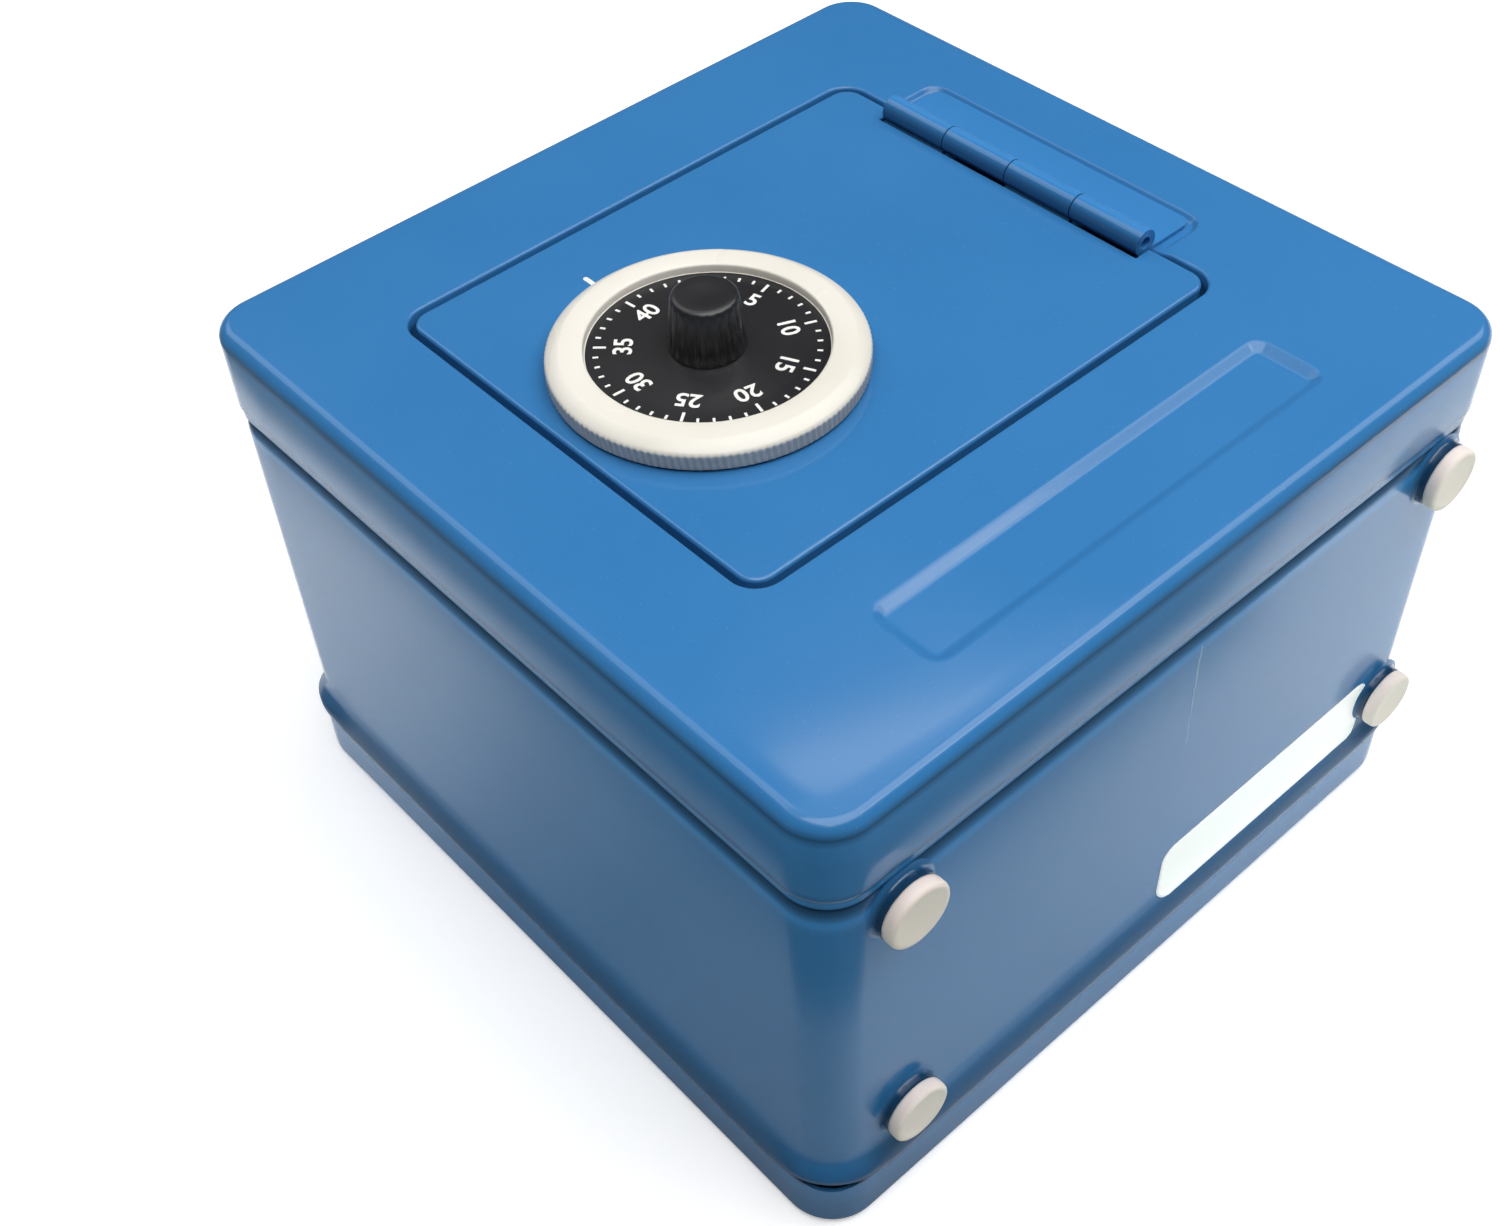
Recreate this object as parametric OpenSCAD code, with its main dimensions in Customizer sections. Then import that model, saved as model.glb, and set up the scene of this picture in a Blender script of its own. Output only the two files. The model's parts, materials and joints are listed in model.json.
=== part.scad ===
// Small sheet-steel combination safe, standing on its four feet.
// +X is to the right seen from the front, +Y runs into the safe, +Z is up.
// The origin is below the centre of the whole safe, on the surface that it stands on.

/* [Cabinet] */
// Width of the front cover
cover_w = 220; // [205:1:260]
// Height of the front cover
cover_h = 220; // [200:1:260]
// Depth from the front face to the back face
cabinet_d = 155; // [120:1:190]
// Corner radius of the front cover, seen from the front
cover_r = 12; // [9:0.5:16]
// Thickness of the front and back covers
cover_sheet = 1.5; // [1:0.1:2]
// Thickness of the body's sheet
body_sheet = 1; // [0.8:0.1:1.6]
// Outer radius of the bend round the front face
face_bend_r = 3.6; // [2.4:0.1:4.5]
// Depth of the front cover's skirt
skirt_d = 26.2; // [20:0.5:27]
// Depth of the band along the skirt's rear edge that is stepped in
hem_d = 3.4; // [2:0.1:5]
// Height of that step
hem_step = 0.5; // [0.3:0.05:0.6]
// How far the body lies inside the front cover's outline
body_inset = 0.6; // [0.4:0.1:1.2]
// Depth of the open groove between the front cover and the body's shoulder
groove_w = 1.4; // [0.8:0.1:2.5]
// Depth of the body's rounded shoulder behind the groove
shoulder_d = 4; // [2:0.5:6]
// Length of the body's tongue inside the front cover's skirt
tongue_d = 14; // [8:0.5:16]
// Clearance between sheets that slide into each other
sheet_fit = 0.1; // [0.05:0.05:0.2]

/* [Back cover] */
// How far the back cover's rim stands out past the front cover's outline
rim_out = 1.5; // [1.2:0.1:3]
// Thickness of the back cover
back_sheet = 1; // [0.8:0.1:1.4]
// Depth of the rim that shows behind the body's lip
rim_show = 16.8; // [14:0.1:20]
// Radius of the back cover's rear edge
rim_bend_r = 2.4; // [1.6:0.1:4]
// Radius of the bend where the body's flare begins
flare_bend_r = 12; // [8:0.5:14]
// Slope of the flare, in degrees
flare_tilt = 24; // [20:1:30]
// Depth of the body's lip, which the rim slides into
rear_lip_d = 2.6; // [2:0.1:4]
// Gap between the rim's front edge and the flare
lap_gap = 0.4; // [0.2:0.1:0.8]
// Width of the crescent relief at each rear corner
relief_w = 20; // [16:0.5:22]
// Height of the crescent relief
relief_h = 5.4; // [4:0.1:6]
// How far the relief reaches into the rim behind the lip
relief_back = 1; // [0.5:0.1:2]

/* [Door] */
// Width of the door
door_w = 146.4; // [135:0.2:160]
// Height of the door
door_h = 124.4; // [110:0.2:150]
// Distance of the door's centre left of the safe's centre
door_left = 1.1; // [0:0.1:4]
// Height of the door's centre above the bottom of the front cover
door_up = 120.2; // [115:0.2:124]
// Corner radius of the door
door_r = 5.3; // [4:0.1:8]
// Gap between the door and its frame
door_gap = 1.8; // [1.2:0.1:2.2]
// Gap between the door and its frame at the hinge
hinge_gap = 1.4; // [1:0.1:1.8]
// Thickness of the door's sheet
door_sheet = 2; // [1.6:0.1:2.2]
// Depth of the door's folded edge
door_d = 12; // [9:0.5:12.4]
// Radius of the front edges of the door and of its frame
edge_r = 0.9; // [0.5:0.1:1.2]
// Depth of the lip that is folded in round the door opening
lip_d = 11.4; // [8:0.2:12]

/* [Stamped bar] */
// Width of the stamped bar below the door
bar_w = 125.4; // [90:0.2:150]
// Height of the stamped bar
bar_h = 20; // [14:0.5:24]
// Height of the stamped bar's centre above the bottom of the front cover
bar_up = 27.4; // [22:0.2:32]
// Depth of the stamped bar
bar_deep = 1.6; // [1:0.1:2.5]
// Width of the stamped bar's sloping walls
bar_slope = 2.4; // [1.5:0.1:4]
// Corner radius of the stamped bar
bar_r = 4; // [3.2:0.1:6]

/* [Hinge] */
// Length of the hinge
hinge_len = 87; // [60:1:100]
// Outside diameter of the hinge barrel
barrel_d = 7; // [6:0.1:8]
// Thickness of the hinge leaves
leaf_sheet = 1.2; // [1:0.1:1.5]
// Diameter of the hinge pin
pin_d = 3.2; // [2.6:0.1:3.6]
// Distance of the hinge axis inside the door's right edge
axis_in = 1.6; // [1.2:0.1:2]
// Width of the frame leaf from the hinge axis to its free edge
leaf_w = 17.8; // [14:0.1:22]
// How deep the hinge pocket is stamped into the front cover
pocket_deep = 1.4; // [1.2:0.1:1.8]

/* [Feet] */
// Diameter of a rubber foot and of the boss that carries it
foot_d = 16.8; // [12:0.2:18]
// Height of a rubber foot below its boss
foot_h = 3.4; // [3.2:0.1:5]
// Height of the pressed boss below the body
boss_h = 2.6; // [2:0.1:4]
// Mean distance of the feet from the cover's sides
foot_in = 19.5; // [18:0.5:25]
// How far the front feet sit right of the middle
front_feet_right = 1.9; // [0:0.1:3]
// How far the rear feet sit right of the middle
rear_feet_right = 5.5; // [0:0.1:6]
// Distance of the front feet behind the front face
foot_front = 36.3; // [36.3:0.1:45]
// Distance of the rear feet in front of the back face
foot_rear = 35.3; // [33:0.1:50]

/* [Dial] */
// Distance of the dial's centre from the door's free edge
dial_in = 41.1; // [40:0.1:50]
// Distance of the dial's centre below the door's centre
dial_down = 1; // [0:0.1:3]
// Outside diameter of the knurled dial ring
ring_d = 75.6; // [66:0.2:80]
// Outside diameter of the ring's flat top
ring_flat_d = 68.6; // [60:0.2:70]
// Diameter of the number plate inside the ring
plate_d = 57.2; // [50:0.2:58]
// Height of the ring's flat top above the door
ring_h = 7; // [6:0.1:9]
// Height of the knurled side's top above the door
knurl_h = 5; // [3.5:0.1:5.5]
// Number of grooves round the ring
knurls = 96; // [60:1:120]
// Depth of the grooves
knurl_deep = 0.5; // [0.3:0.05:0.8]
// Gap between the door and the turning dial
dial_gap = 0.6; // [0.4:0.1:1]
// Diameter of the knob at its base
knob_d = 18; // [14:0.5:22]
// Distance of the knob's end from the door
knob_out = 20; // [16:0.5:26]
// Diameter of the spindle
spindle_d = 6; // [5:0.1:7]
// Radial clearance of parts that turn in or on each other
run_fit = 0.05; // [0.03:0.01:0.08]

/* [Lock] */
// Wall thickness of the lock case
case_wall = 2; // [1.6:0.1:2.4]
// Depth of the lock case from the door's sheet to the lock cover
case_d = 22; // [21:0.5:26]
// Diameter of the three tumbler wheels
wheel_d = 38; // [34:0.5:38.5]
// Thickness of a tumbler wheel
wheel_t = 1.6; // [1.2:0.1:2]
// Diameter of the drive cam
cam_d = 34; // [30:0.5:34]
// Thickness of the drive cam
cam_t = 3.4; // [2.8:0.1:3.6]
// Diameter of the post that the wheels turn on
post_d = 10; // [8:0.5:12]
// Height of the bolt
bolt_h = 12; // [9:0.5:12]
// Thickness of the bolt
bolt_t = 8; // [6:0.5:8]
// Travel of the bolt
bolt_throw = 7; // [5:0.5:7]
// Clearance round the sliding bolt
slide_fit = 0.3; // [0.2:0.05:0.4]

/* [Hidden] */
$fn = 64;

paint = [0.24, 0.51, 0.74];
steel = [0.62, 0.63, 0.65];
brass = [0.76, 0.62, 0.32];
rubber = [0.72, 0.70, 0.66];
cream = [0.88, 0.86, 0.80];
black = [0.08, 0.08, 0.09];
zinc = [0.55, 0.56, 0.58];

// A small overlap that lets a cut run out past a face
past = 1;

// Cabinet
front_y = (knob_out - cabinet_d) / 2;
under_z = foot_h + boss_h;
cover_low = under_z - body_inset;
cover_mid = cover_low + cover_h / 2;
lip_out = rim_out + sheet_fit + body_sheet;
lip_end = cabinet_d - rim_show;
flare_end = lip_end - rear_lip_d;
rim_d = rim_show + rear_lip_d - lap_gap;

// Door
door_x = -door_left;
door_z = cover_low + door_up;
open_w = door_w + door_gap + hinge_gap;
open_h = door_h + 2 * door_gap;
open_x = door_x + (hinge_gap - door_gap) / 2;
open_r = door_r + door_gap;

// Hinge
hinge_x = door_x + door_w / 2 - axis_in;
hinge_up = barrel_d / 2 - pocket_deep;
hinge_air = 0.5;
knuckles = 4;
knuckle_len = hinge_len / knuckles;
knuckle_gap = 0.4;
notch_deep = door_sheet + leaf_sheet + 0.8;
pocket_slope = 1.2;
pocket_w = leaf_w + hinge_x - open_x - open_w / 2 + 0.5 + pocket_slope;
pocket_r = 5;
door_leaf_w = 17;
rivet_r = 1.6;

// Feet
stem_r = 2;
foot_side = cover_w / 2 - foot_in;
foot_spots = [
    [front_feet_right - foot_side, foot_front],
    [front_feet_right + foot_side, foot_front],
    [rear_feet_right - foot_side, cabinet_d - foot_rear],
    [rear_feet_right + foot_side, cabinet_d - foot_rear]];

// Dial
dial_x = door_x - door_w / 2 + dial_in;
dial_z = door_z - dial_down;
ledge_h = 3;
ledge_r = plate_d / 2 - 3;
plate_fit = 0.1;

// Lock, measured from the dial's centre and from the front face inwards
wheel_r = wheel_d / 2;
cam_r = cam_d / 2;
case_air = 2.5;
case_right = wheel_r + case_air + case_wall;
case_low = wheel_r + case_air + case_wall;
case_left = dial_in - 3.2;
case_top = 32;
case_front = door_sheet;
case_back = case_front + case_d;
cam_front = case_front + case_wall + 3;
cam_back = cam_front + cam_t;
wheel_pitch = 2 * wheel_t;
wheel_front = cam_back + wheel_t;
post_r = post_d / 2;
post_front = wheel_front - 1.2;
spacer_r = post_r + 3;
push_long = 0.6 * wheel_t;
gate_w = 5;
gate_deep = 5;
pick_r = 12;
push_r = 1.2;
pick_turn = 2 * asin((push_r + 0.1) / pick_r);

// Bolt and lever
bolt_front = door_d + 0.8;
bolt_y = 14;
bolt_tip = dial_in - 0.3;
bolt_tail = wheel_r + 1.6;
stop_r = 1.2;
stop_h = 1.6;
stop_x = -bolt_tail - stop_r - bolt_throw - 2.5;
lever_t = cam_t - 0.4;
lever_front = cam_front + 0.2;
pivot = [-bolt_tail - 3.3, bolt_y + 2];
screw_r = 2.2;
screw_deep = 5;
hub_r = 3.7;
tip = 2;
nose_y = cam_r + 0.4;
nose_x = 2;
nose_w = 8;
fence_w = 4;
fence_x = -12;
fence_y = sqrt(pow(wheel_r + 0.5, 2) - pow(fence_x + fence_w, 2));
lever_top = fence_y + 5;
fence_back = wheel_front + 2 * wheel_pitch + wheel_t + 0.4;
lever_lift = 6;
hub_turn = 49;
fence_turn = -atan2(fence_x + fence_w / 2, fence_y);

// Lock fixings
ear_r = 5;
ear_in = 9;
stud_r = 2;
stud_len = 8;
ear_spots = [
    [ear_in - case_left, case_top + ear_r], [case_right - ear_in, case_top + ear_r],
    [ear_in - case_left, -case_low - ear_r], [case_right - ear_in, -case_low - ear_r]];
boss_r = 3.4;
screw_in = 5;
screw_len = 7;
screw_spots = [
    [screw_in - case_left, case_top - screw_in],
    [case_right - screw_in, case_top - screw_in],
    [screw_in - case_left, screw_in - case_low],
    [case_right - screw_in, screw_in - case_low]];

// Turns a drawing of the front (x right, y up, z out of the face) to its place
module on_front() {
    translate([0, front_y, 0]) rotate([90, 0, 0]) children();
}

// The same, centred on the front cover
module on_cover() {
    on_front() translate([0, cover_mid, 0]) children();
}

// The same, centred on the dial
module on_dial() {
    on_front() translate([dial_x, dial_z, 0]) children();
}

// A rectangle with round corners, centred
module round_rect(w, h, r) {
    square([w - 2 * r, h], center = true);
    square([w, h - 2 * r], center = true);
    for (sx = [-1, 1], sy = [-1, 1])
        translate([sx * (w / 2 - r), sy * (h / 2 - r)]) circle(r);
}

// A slab of a rounded rectangle between two depths below the face
module slab(w, h, r, from, to) {
    translate([0, 0, -to]) linear_extrude(to - from) round_rect(w, h, r);
}

// Carries a section (x out from the outline, y out of the face) round a rounded rectangle
module around(w, h, r) {
    for (turn = [0:90:270]) {
        across = turn % 180 == 0 ? w : h;
        long = turn % 180 == 0 ? h : w;
        rotate([0, 0, turn]) translate([across / 2 - r, 0, 0]) {
            rotate([90, 0, 0])
                linear_extrude(long - 2 * r, center = true)
                    translate([r, 0]) children();
            translate([0, long / 2 - r, 0])
                rotate_extrude(angle = 90) translate([r, 0]) children();
        }
    }
}

// Section of a folded edge: flat top at y = 0, bend of outer radius r, leg down to depth d
module fold(r, t, d) {
    translate([-r, -r]) intersection() {
        difference() {
            circle(r);
            if (r > t) circle(r - t);
        }
        square(r);
    }
    translate([-t, -d]) square([t, d - r]);
    if (t > r) translate([-t, -r]) square([t - r, r]);
}

// A tapered recess to cut into the face: its outline at the face, depth and slope
module stamp(w, h, r, deep, slope) {
    slab(w - 2 * slope, h - 2 * slope, r - slope, -past, deep);
    around(w, h, r)
        polygon([[-slope, -deep], [-slope, past], [slope * past / deep, past]]);
}

// The sheet behind a tapered recess
module stamp_back(w, h, r, deep, slope, sheet) {
    slab(w - 2 * slope + 2 * sheet, h - 2 * slope + 2 * sheet, r, sheet / 2, deep + sheet);
}

// Cabinet pieces

module hinge_pocket() {
    // The pocket runs out into the door opening on its left
    translate([open_x + open_w / 2, door_z, 0]) children();
}

// Section of the front cover's edge: a fold whose skirt is stepped in along its rear edge
module skirt_section() {
    difference() {
        fold(face_bend_r, cover_sheet, skirt_d);
        translate([-hem_step, -skirt_d - past]) polygon([
            [0, 0], [0, past + hem_d - hem_step], [hem_step, past + hem_d],
            [hem_step + past, past + hem_d], [hem_step + past, 0]]);
    }
}

module front_cover() color(paint) {
    difference() {
        union() {
            on_cover() around(cover_w, cover_h, cover_r) skirt_section();
            on_cover() slab(cover_w - 2 * face_bend_r, cover_h - 2 * face_bend_r,
                cover_r - face_bend_r, 0, cover_sheet);
            on_front() translate([0, cover_low + bar_up, 0])
                stamp_back(bar_w, bar_h, bar_r, bar_deep, bar_slope, cover_sheet);
            on_front() hinge_pocket() translate([0, 0, -pocket_deep - cover_sheet])
                linear_extrude(pocket_deep + cover_sheet / 2)
                    round_rect(2 * pocket_w + 2, hinge_len + 7, pocket_r);
            on_front() translate([open_x, door_z, 0])
                slab(open_w + 2 * cover_sheet, open_h + 2 * cover_sheet,
                    open_r + cover_sheet, cover_sheet / 2, lip_d);
        }
        on_front() translate([open_x, door_z, 0]) {
            slab(open_w, open_h, open_r, -past, lip_d + past);
            // Rounds the front edge of the frame
            around(open_w, open_h, open_r) difference() {
                translate([-past, -edge_r]) square([edge_r + past, edge_r + past]);
                translate([edge_r, -edge_r]) circle(edge_r);
            }
        }
        on_front() translate([0, cover_low + bar_up, 0])
            stamp(bar_w, bar_h, bar_r, bar_deep, bar_slope);
        on_front() hinge_pocket()
            stamp(2 * pocket_w, hinge_len + 6, pocket_r, pocket_deep, pocket_slope);
    }
}

// Section of the body's sheet, from the tongue to the lip: x from the cover's outline
module body_section() {
    steps = 10;
    tongue_out = -cover_sheet - sheet_fit;
    shoulder = skirt_d + groove_w;
    shoulder_rise = -body_inset - tongue_out;
    flare_rise = lip_out + body_inset;
    bend_rise = flare_bend_r * (1 - cos(flare_tilt));
    flare_start = flare_end - flare_bend_r * sin(flare_tilt)
        - (flare_rise - bend_rise) / tan(flare_tilt);
    // A quarter of an ellipse behind the groove
    round = [for (n = [1 : steps]) let (a = 90 * n / steps)
        [tongue_out + shoulder_rise * sin(a), -shoulder - shoulder_d * (1 - cos(a))]];
    // A bend out of the wall, then a straight slope to the lip
    bend = [for (n = [0 : steps]) let (a = flare_tilt * n / steps)
        [flare_bend_r * (1 - cos(a)) - body_inset, -flare_start - flare_bend_r * sin(a)]];
    outside = concat([[tongue_out, -skirt_d + tongue_d], [tongue_out, -shoulder]],
        round, bend, [[lip_out, -flare_end], [lip_out, -lip_end]]);
    inside = [for (n = [len(outside) - 1 : -1 : 0]) outside[n] - [body_sheet, 0]];
    polygon(concat(outside, inside));
}

// A lens cut through each rear corner of the lip and of the rim, centred as the cover is
module corner_reliefs() {
    half_h = relief_h / 2;
    arc_r = (pow(relief_w / 2, 2) + pow(half_h, 2)) / relief_h;
    for (sx = [-1, 1], sy = [-1, 1])
        translate([sx * (cover_w / 2 - cover_r), sy * (cover_h / 2 - cover_r),
            half_h - lip_end - relief_back])
            rotate([0, 90, atan2(sy, sx)]) intersection() {
                translate([arc_r - half_h, 0, 0]) cylinder(r = arc_r, h = 2 * cover_r);
                translate([half_h - arc_r, 0, 0]) cylinder(r = arc_r, h = 2 * cover_r);
            }
}

module body_shell() color(paint) {
    difference() {
        union() {
            on_cover() around(cover_w, cover_h, cover_r) body_section();
            for (spot = foot_spots)
                translate([spot.x, front_y + spot.y, foot_h])
                    cylinder(r = foot_d / 2, h = boss_h + body_sheet);
        }
        on_cover() corner_reliefs();
        for (spot = foot_spots)
            translate([spot.x, front_y + spot.y, foot_h]) {
                translate([0, 0, body_sheet])
                    cylinder(r = foot_d / 2 - body_sheet, h = boss_h + body_sheet + past);
                translate([0, 0, -past]) cylinder(r = stem_r, h = body_sheet + 2 * past);
            }
    }
}

module back_cover() color(paint) on_cover() {
    w = cover_w + 2 * rim_out;
    h = cover_h + 2 * rim_out;
    r = cover_r + rim_out;
    difference() {
        around(w, h, r) translate([0, -cabinet_d]) mirror([0, 1])
            fold(rim_bend_r, back_sheet, rim_d);
        corner_reliefs();
    }
    slab(w - 2 * rim_bend_r, h - 2 * rim_bend_r, r - rim_bend_r,
        cabinet_d - back_sheet, cabinet_d);
}

// A rubber foot: chamfered pad, stem through the boss and a barb that holds it
module foot(spot) color(rubber) {
    barb_r = stem_r + 1.1;
    chamfer = 0.7;
    translate([spot.x, front_y + spot.y, 0])
        rotate_extrude() polygon([
            [0, 0], [foot_d / 2 - chamfer, 0], [foot_d / 2, chamfer], [foot_d / 2, foot_h],
            [stem_r, foot_h], [stem_r, foot_h + body_sheet],
            [barb_r, foot_h + body_sheet], [stem_r - 0.6, foot_h + body_sheet + 1.3],
            [0, foot_h + body_sheet + 1.3]]);
}

module foot_front_left() foot(foot_spots[0]);
module foot_front_right() foot(foot_spots[1]);
module foot_rear_left() foot(foot_spots[2]);
module foot_rear_right() foot(foot_spots[3]);

// Two angle pieces on the frame's lip, which the closed door's free edge rests on
module door_stops() color(steel) on_front() {
    stop_len = 14;
    leg = 9;
    reach = cover_sheet + door_gap + 3;
    edge = open_x - open_w / 2;
    for (side = [-1, 1])
        translate([edge - cover_sheet, door_z + side * door_h / 3.2, 0])
            rotate([90, 0, 0]) linear_extrude(stop_len, center = true) {
                translate([-cover_sheet, -door_d - slide_fit - cover_sheet])
                    square([cover_sheet, leg]);
                translate([-cover_sheet, -door_d - slide_fit - cover_sheet])
                    square([cover_sheet + reach, cover_sheet]);
            }
}

// Door pieces

module door_panel() color(paint) {
    difference() {
        on_front() translate([door_x, door_z, 0]) {
            around(door_w, door_h, door_r) fold(edge_r, door_sheet, door_d);
            slab(door_w - 2 * door_sheet, door_h - 2 * door_sheet,
                door_r - door_sheet, 0, door_sheet);
        }
        // Notch for the hinge barrel
        on_front() translate([hinge_x - barrel_d / 2 - hinge_air,
            door_z - hinge_len / 2 - hinge_air, -notch_deep])
            cube([barrel_d + door_gap, hinge_len + 2 * hinge_air, notch_deep + past]);
        // Hole for the spindle's bushing
        on_dial() translate([0, 0, -door_sheet - past])
            cylinder(r = spindle_d / 2 + 2, h = door_sheet + 2 * past);
    }
}

// Two of the hinge's knuckles, rolled from a leaf; first is 0 or 1, counted from below
module knuckle_rolls(first) {
    for (n = [first : 2 : knuckles - 1])
        translate([hinge_x, front_y - hinge_up,
            door_z - hinge_len / 2 + n * knuckle_len + knuckle_gap / 2])
            difference() {
                cylinder(r = barrel_d / 2, h = knuckle_len - knuckle_gap);
                translate([0, 0, -past])
                    cylinder(r = pin_d / 2 + run_fit, h = knuckle_len + 2 * past);
            }
}

// Clears a leaf away beside the other leaf's knuckles
module knuckle_clear(first) {
    for (n = [first : 2 : knuckles - 1])
        translate([hinge_x - barrel_d / 2 - hinge_air, front_y - barrel_d,
            door_z - hinge_len / 2 + n * knuckle_len - knuckle_gap / 2])
            cube([barrel_d + 2 * hinge_air, 3 * barrel_d, knuckle_len + knuckle_gap]);
}

module hinge_frame_leaf() color(paint) {
    knuckle_rolls(0);
    difference() {
        on_front() translate([hinge_x, door_z, -pocket_deep])
            linear_extrude(leaf_sheet) intersection() {
                round_rect(2 * leaf_w, hinge_len - knuckle_gap, 3);
                translate([0, -hinge_len]) square([2 * leaf_w, 2 * hinge_len]);
            }
        knuckle_clear(1);
        translate([hinge_x, front_y - hinge_up, door_z - hinge_len])
            cylinder(r = pin_d / 2 + run_fit, h = 2 * hinge_len);
    }
}

module hinge_door_leaf() color(paint) {
    knuckle_rolls(1);
    flat_x = hinge_x - barrel_d / 2 - hinge_air + 0.1;
    difference() {
        translate([0, 0, door_z - hinge_len / 2])
            linear_extrude(hinge_len - knuckle_gap / 2) polygon([
                [hinge_x - door_leaf_w, front_y + door_sheet],
                [flat_x, front_y + door_sheet],
                [hinge_x - barrel_d / 3, front_y],
                [hinge_x, front_y + pocket_deep - leaf_sheet],
                [hinge_x, front_y + pocket_deep],
                [hinge_x - 1, front_y + pocket_deep],
                [flat_x + 1, front_y + door_sheet + leaf_sheet],
                [hinge_x - door_leaf_w, front_y + door_sheet + leaf_sheet]]);
        knuckle_clear(0);
        translate([hinge_x, front_y - hinge_up, door_z - hinge_len])
            cylinder(r = pin_d / 2 + run_fit, h = 2 * hinge_len);
        rivet_spots() cylinder(r = rivet_r, h = 2 * barrel_d, center = true);
    }
}

module hinge_pin() color(steel) {
    short = 3;
    translate([hinge_x, front_y - hinge_up, door_z - hinge_len / 2 + short])
        cylinder(r = pin_d / 2, h = hinge_len - 2 * short);
}

// The places where the door leaf is riveted to the door's inner face
module rivet_spots() {
    for (n = [0 : 3])
        translate([hinge_x - door_leaf_w + 6, front_y + door_sheet,
            door_z - hinge_len / 2 + (n + 0.5) * knuckle_len])
            rotate([90, 0, 0]) children();
}

// Rivet shanks and their heads on the inside of the door leaf
module hinge_rivets() color(steel) {
    rivet_spots() translate([0, 0, -leaf_sheet]) {
        cylinder(r = rivet_r, h = leaf_sheet);
        translate([0, 0, -1]) cylinder(r = 2 * rivet_r, h = 1);
    }
}

// Threaded studs welded to the door's inner face, which carry the lock
module door_studs() color(steel) on_dial() {
    for (spot = ear_spots)
        translate([spot.x, spot.y, -case_front - stud_len])
            cylinder(r = stud_r, h = stud_len);
}

module lock_nuts() color(steel) on_dial() {
    nut_r = 3.9;
    nut_t = 3;
    for (spot = ear_spots)
        translate([spot.x, spot.y, -case_front - case_wall - nut_t]) difference() {
            cylinder(r = nut_r, h = nut_t, $fn = 6);
            translate([0, 0, -past]) cylinder(r = stud_r + 0.02, h = nut_t + 2 * past);
        }
}

module spindle_bushing() color(brass) on_dial() {
    flange = 0.8 * dial_gap;
    long = case_front + case_wall;
    difference() {
        union() {
            translate([0, 0, -long]) cylinder(r = spindle_d / 2 + 2, h = long);
            cylinder(r = spindle_d / 2 + 4, h = flange / 2);
        }
        translate([0, 0, -long - past])
            cylinder(r = spindle_d / 2 + run_fit, h = long + 2 * past);
    }
}

// Dial pieces

// Outline of the knurled side: a groove after each tooth
function knurl_outline() = [
    for (n = [0 : 2 * knurls - 1])
        let (a = 180 * n / knurls, r = ring_d / 2 - (n % 2) * knurl_deep)
            [r * cos(a), r * sin(a)]];

module dial_ring() color(cream) on_dial() {
    difference() {
        union() {
            translate([0, 0, dial_gap]) linear_extrude(knurl_h - dial_gap)
                polygon(knurl_outline());
            translate([0, 0, knurl_h - past]) rotate_extrude() polygon([
                [0, 0], [ring_d / 2 - knurl_deep - 0.1, 0],
                [ring_d / 2 - knurl_deep - 0.1, past],
                [ring_flat_d / 2, ring_h - knurl_h + past],
                [0, ring_h - knurl_h + past]]);
        }
        translate([0, 0, ledge_h]) cylinder(r = plate_d / 2 + plate_fit, h = ring_h);
        translate([0, 0, -past]) cylinder(r = ledge_r, h = ring_h);
    }
}

module dial_plate() color(black) on_dial() {
    hub_r = spindle_d / 2 + 5;
    edge_h = ring_h - 0.9;
    difference() {
        rotate_extrude() polygon([
            [0, dial_gap], [hub_r, dial_gap], [hub_r, ledge_h], [plate_d / 2, ledge_h],
            [plate_d / 2, edge_h], [plate_d / 2 - 2, edge_h],
            [knob_d / 2 + 1, edge_h + 0.8], [0, edge_h + 0.8]]);
        cylinder(r = spindle_d / 2 + 0.02, h = 3 * ring_h, center = true);
    }
}

module dial_knob() color(black) on_dial() {
    base = ring_h - 0.1;
    skirt = 2;
    top_r = 0.4 * knob_d;
    round_r = 2;
    difference() {
        rotate_extrude() {
            polygon([
                [0, base], [knob_d / 2, base], [knob_d / 2, base + skirt / 2],
                [knob_d / 2 - 0.8, base + skirt], [top_r, knob_out - round_r],
                [0, knob_out - round_r]]);
            translate([0, knob_out - round_r]) square([top_r - round_r, round_r]);
            translate([top_r - round_r, knob_out - round_r]) intersection() {
                circle(round_r);
                square(round_r);
            }
        }
        translate([0, 0, base - past])
            cylinder(r = spindle_d / 2 + 0.02, h = knob_out - base - 3 + past);
    }
}

module dial_spindle() color(steel) on_dial() {
    translate([0, 0, -cam_back]) cylinder(r = spindle_d / 2, h = knob_out - 3 + cam_back);
}

// Lock pieces, drawn from the dial's centre

// A slab of the lock between two depths
module lock_slab(from, to) {
    translate([0, 0, -to]) linear_extrude(to - from) children();
}

module case_outline(inset) {
    translate([(case_right - case_left) / 2, (case_top - case_low) / 2])
        round_rect(case_left + case_right - 2 * inset, case_top + case_low - 2 * inset,
            4 - inset);
}

// Ribs below and above the bolt, and the pin in the bolt's slot that ends its travel
module bolt_guides() {
    rib = 2;
    root = case_wall / 2;
    floor_in = case_front + case_wall / 2;
    low_y = bolt_y - bolt_h / 2 - slide_fit - rib;
    high_y = bolt_y + bolt_h / 2 + slide_fit;
    back = bolt_front + bolt_t;
    translate([root - case_left, low_y, -back])
        cube([case_left - root - bolt_tail, rib, back - floor_in]);
    translate([root - case_left, high_y, -back])
        cube([case_left - root - bolt_tail, rib, bolt_t]);
    translate([stop_x, low_y + rib / 2, -bolt_front - bolt_t / 2])
        rotate([-90, 0, 0]) cylinder(r = stop_r, h = rib / 2 + slide_fit + stop_h);
}

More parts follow.
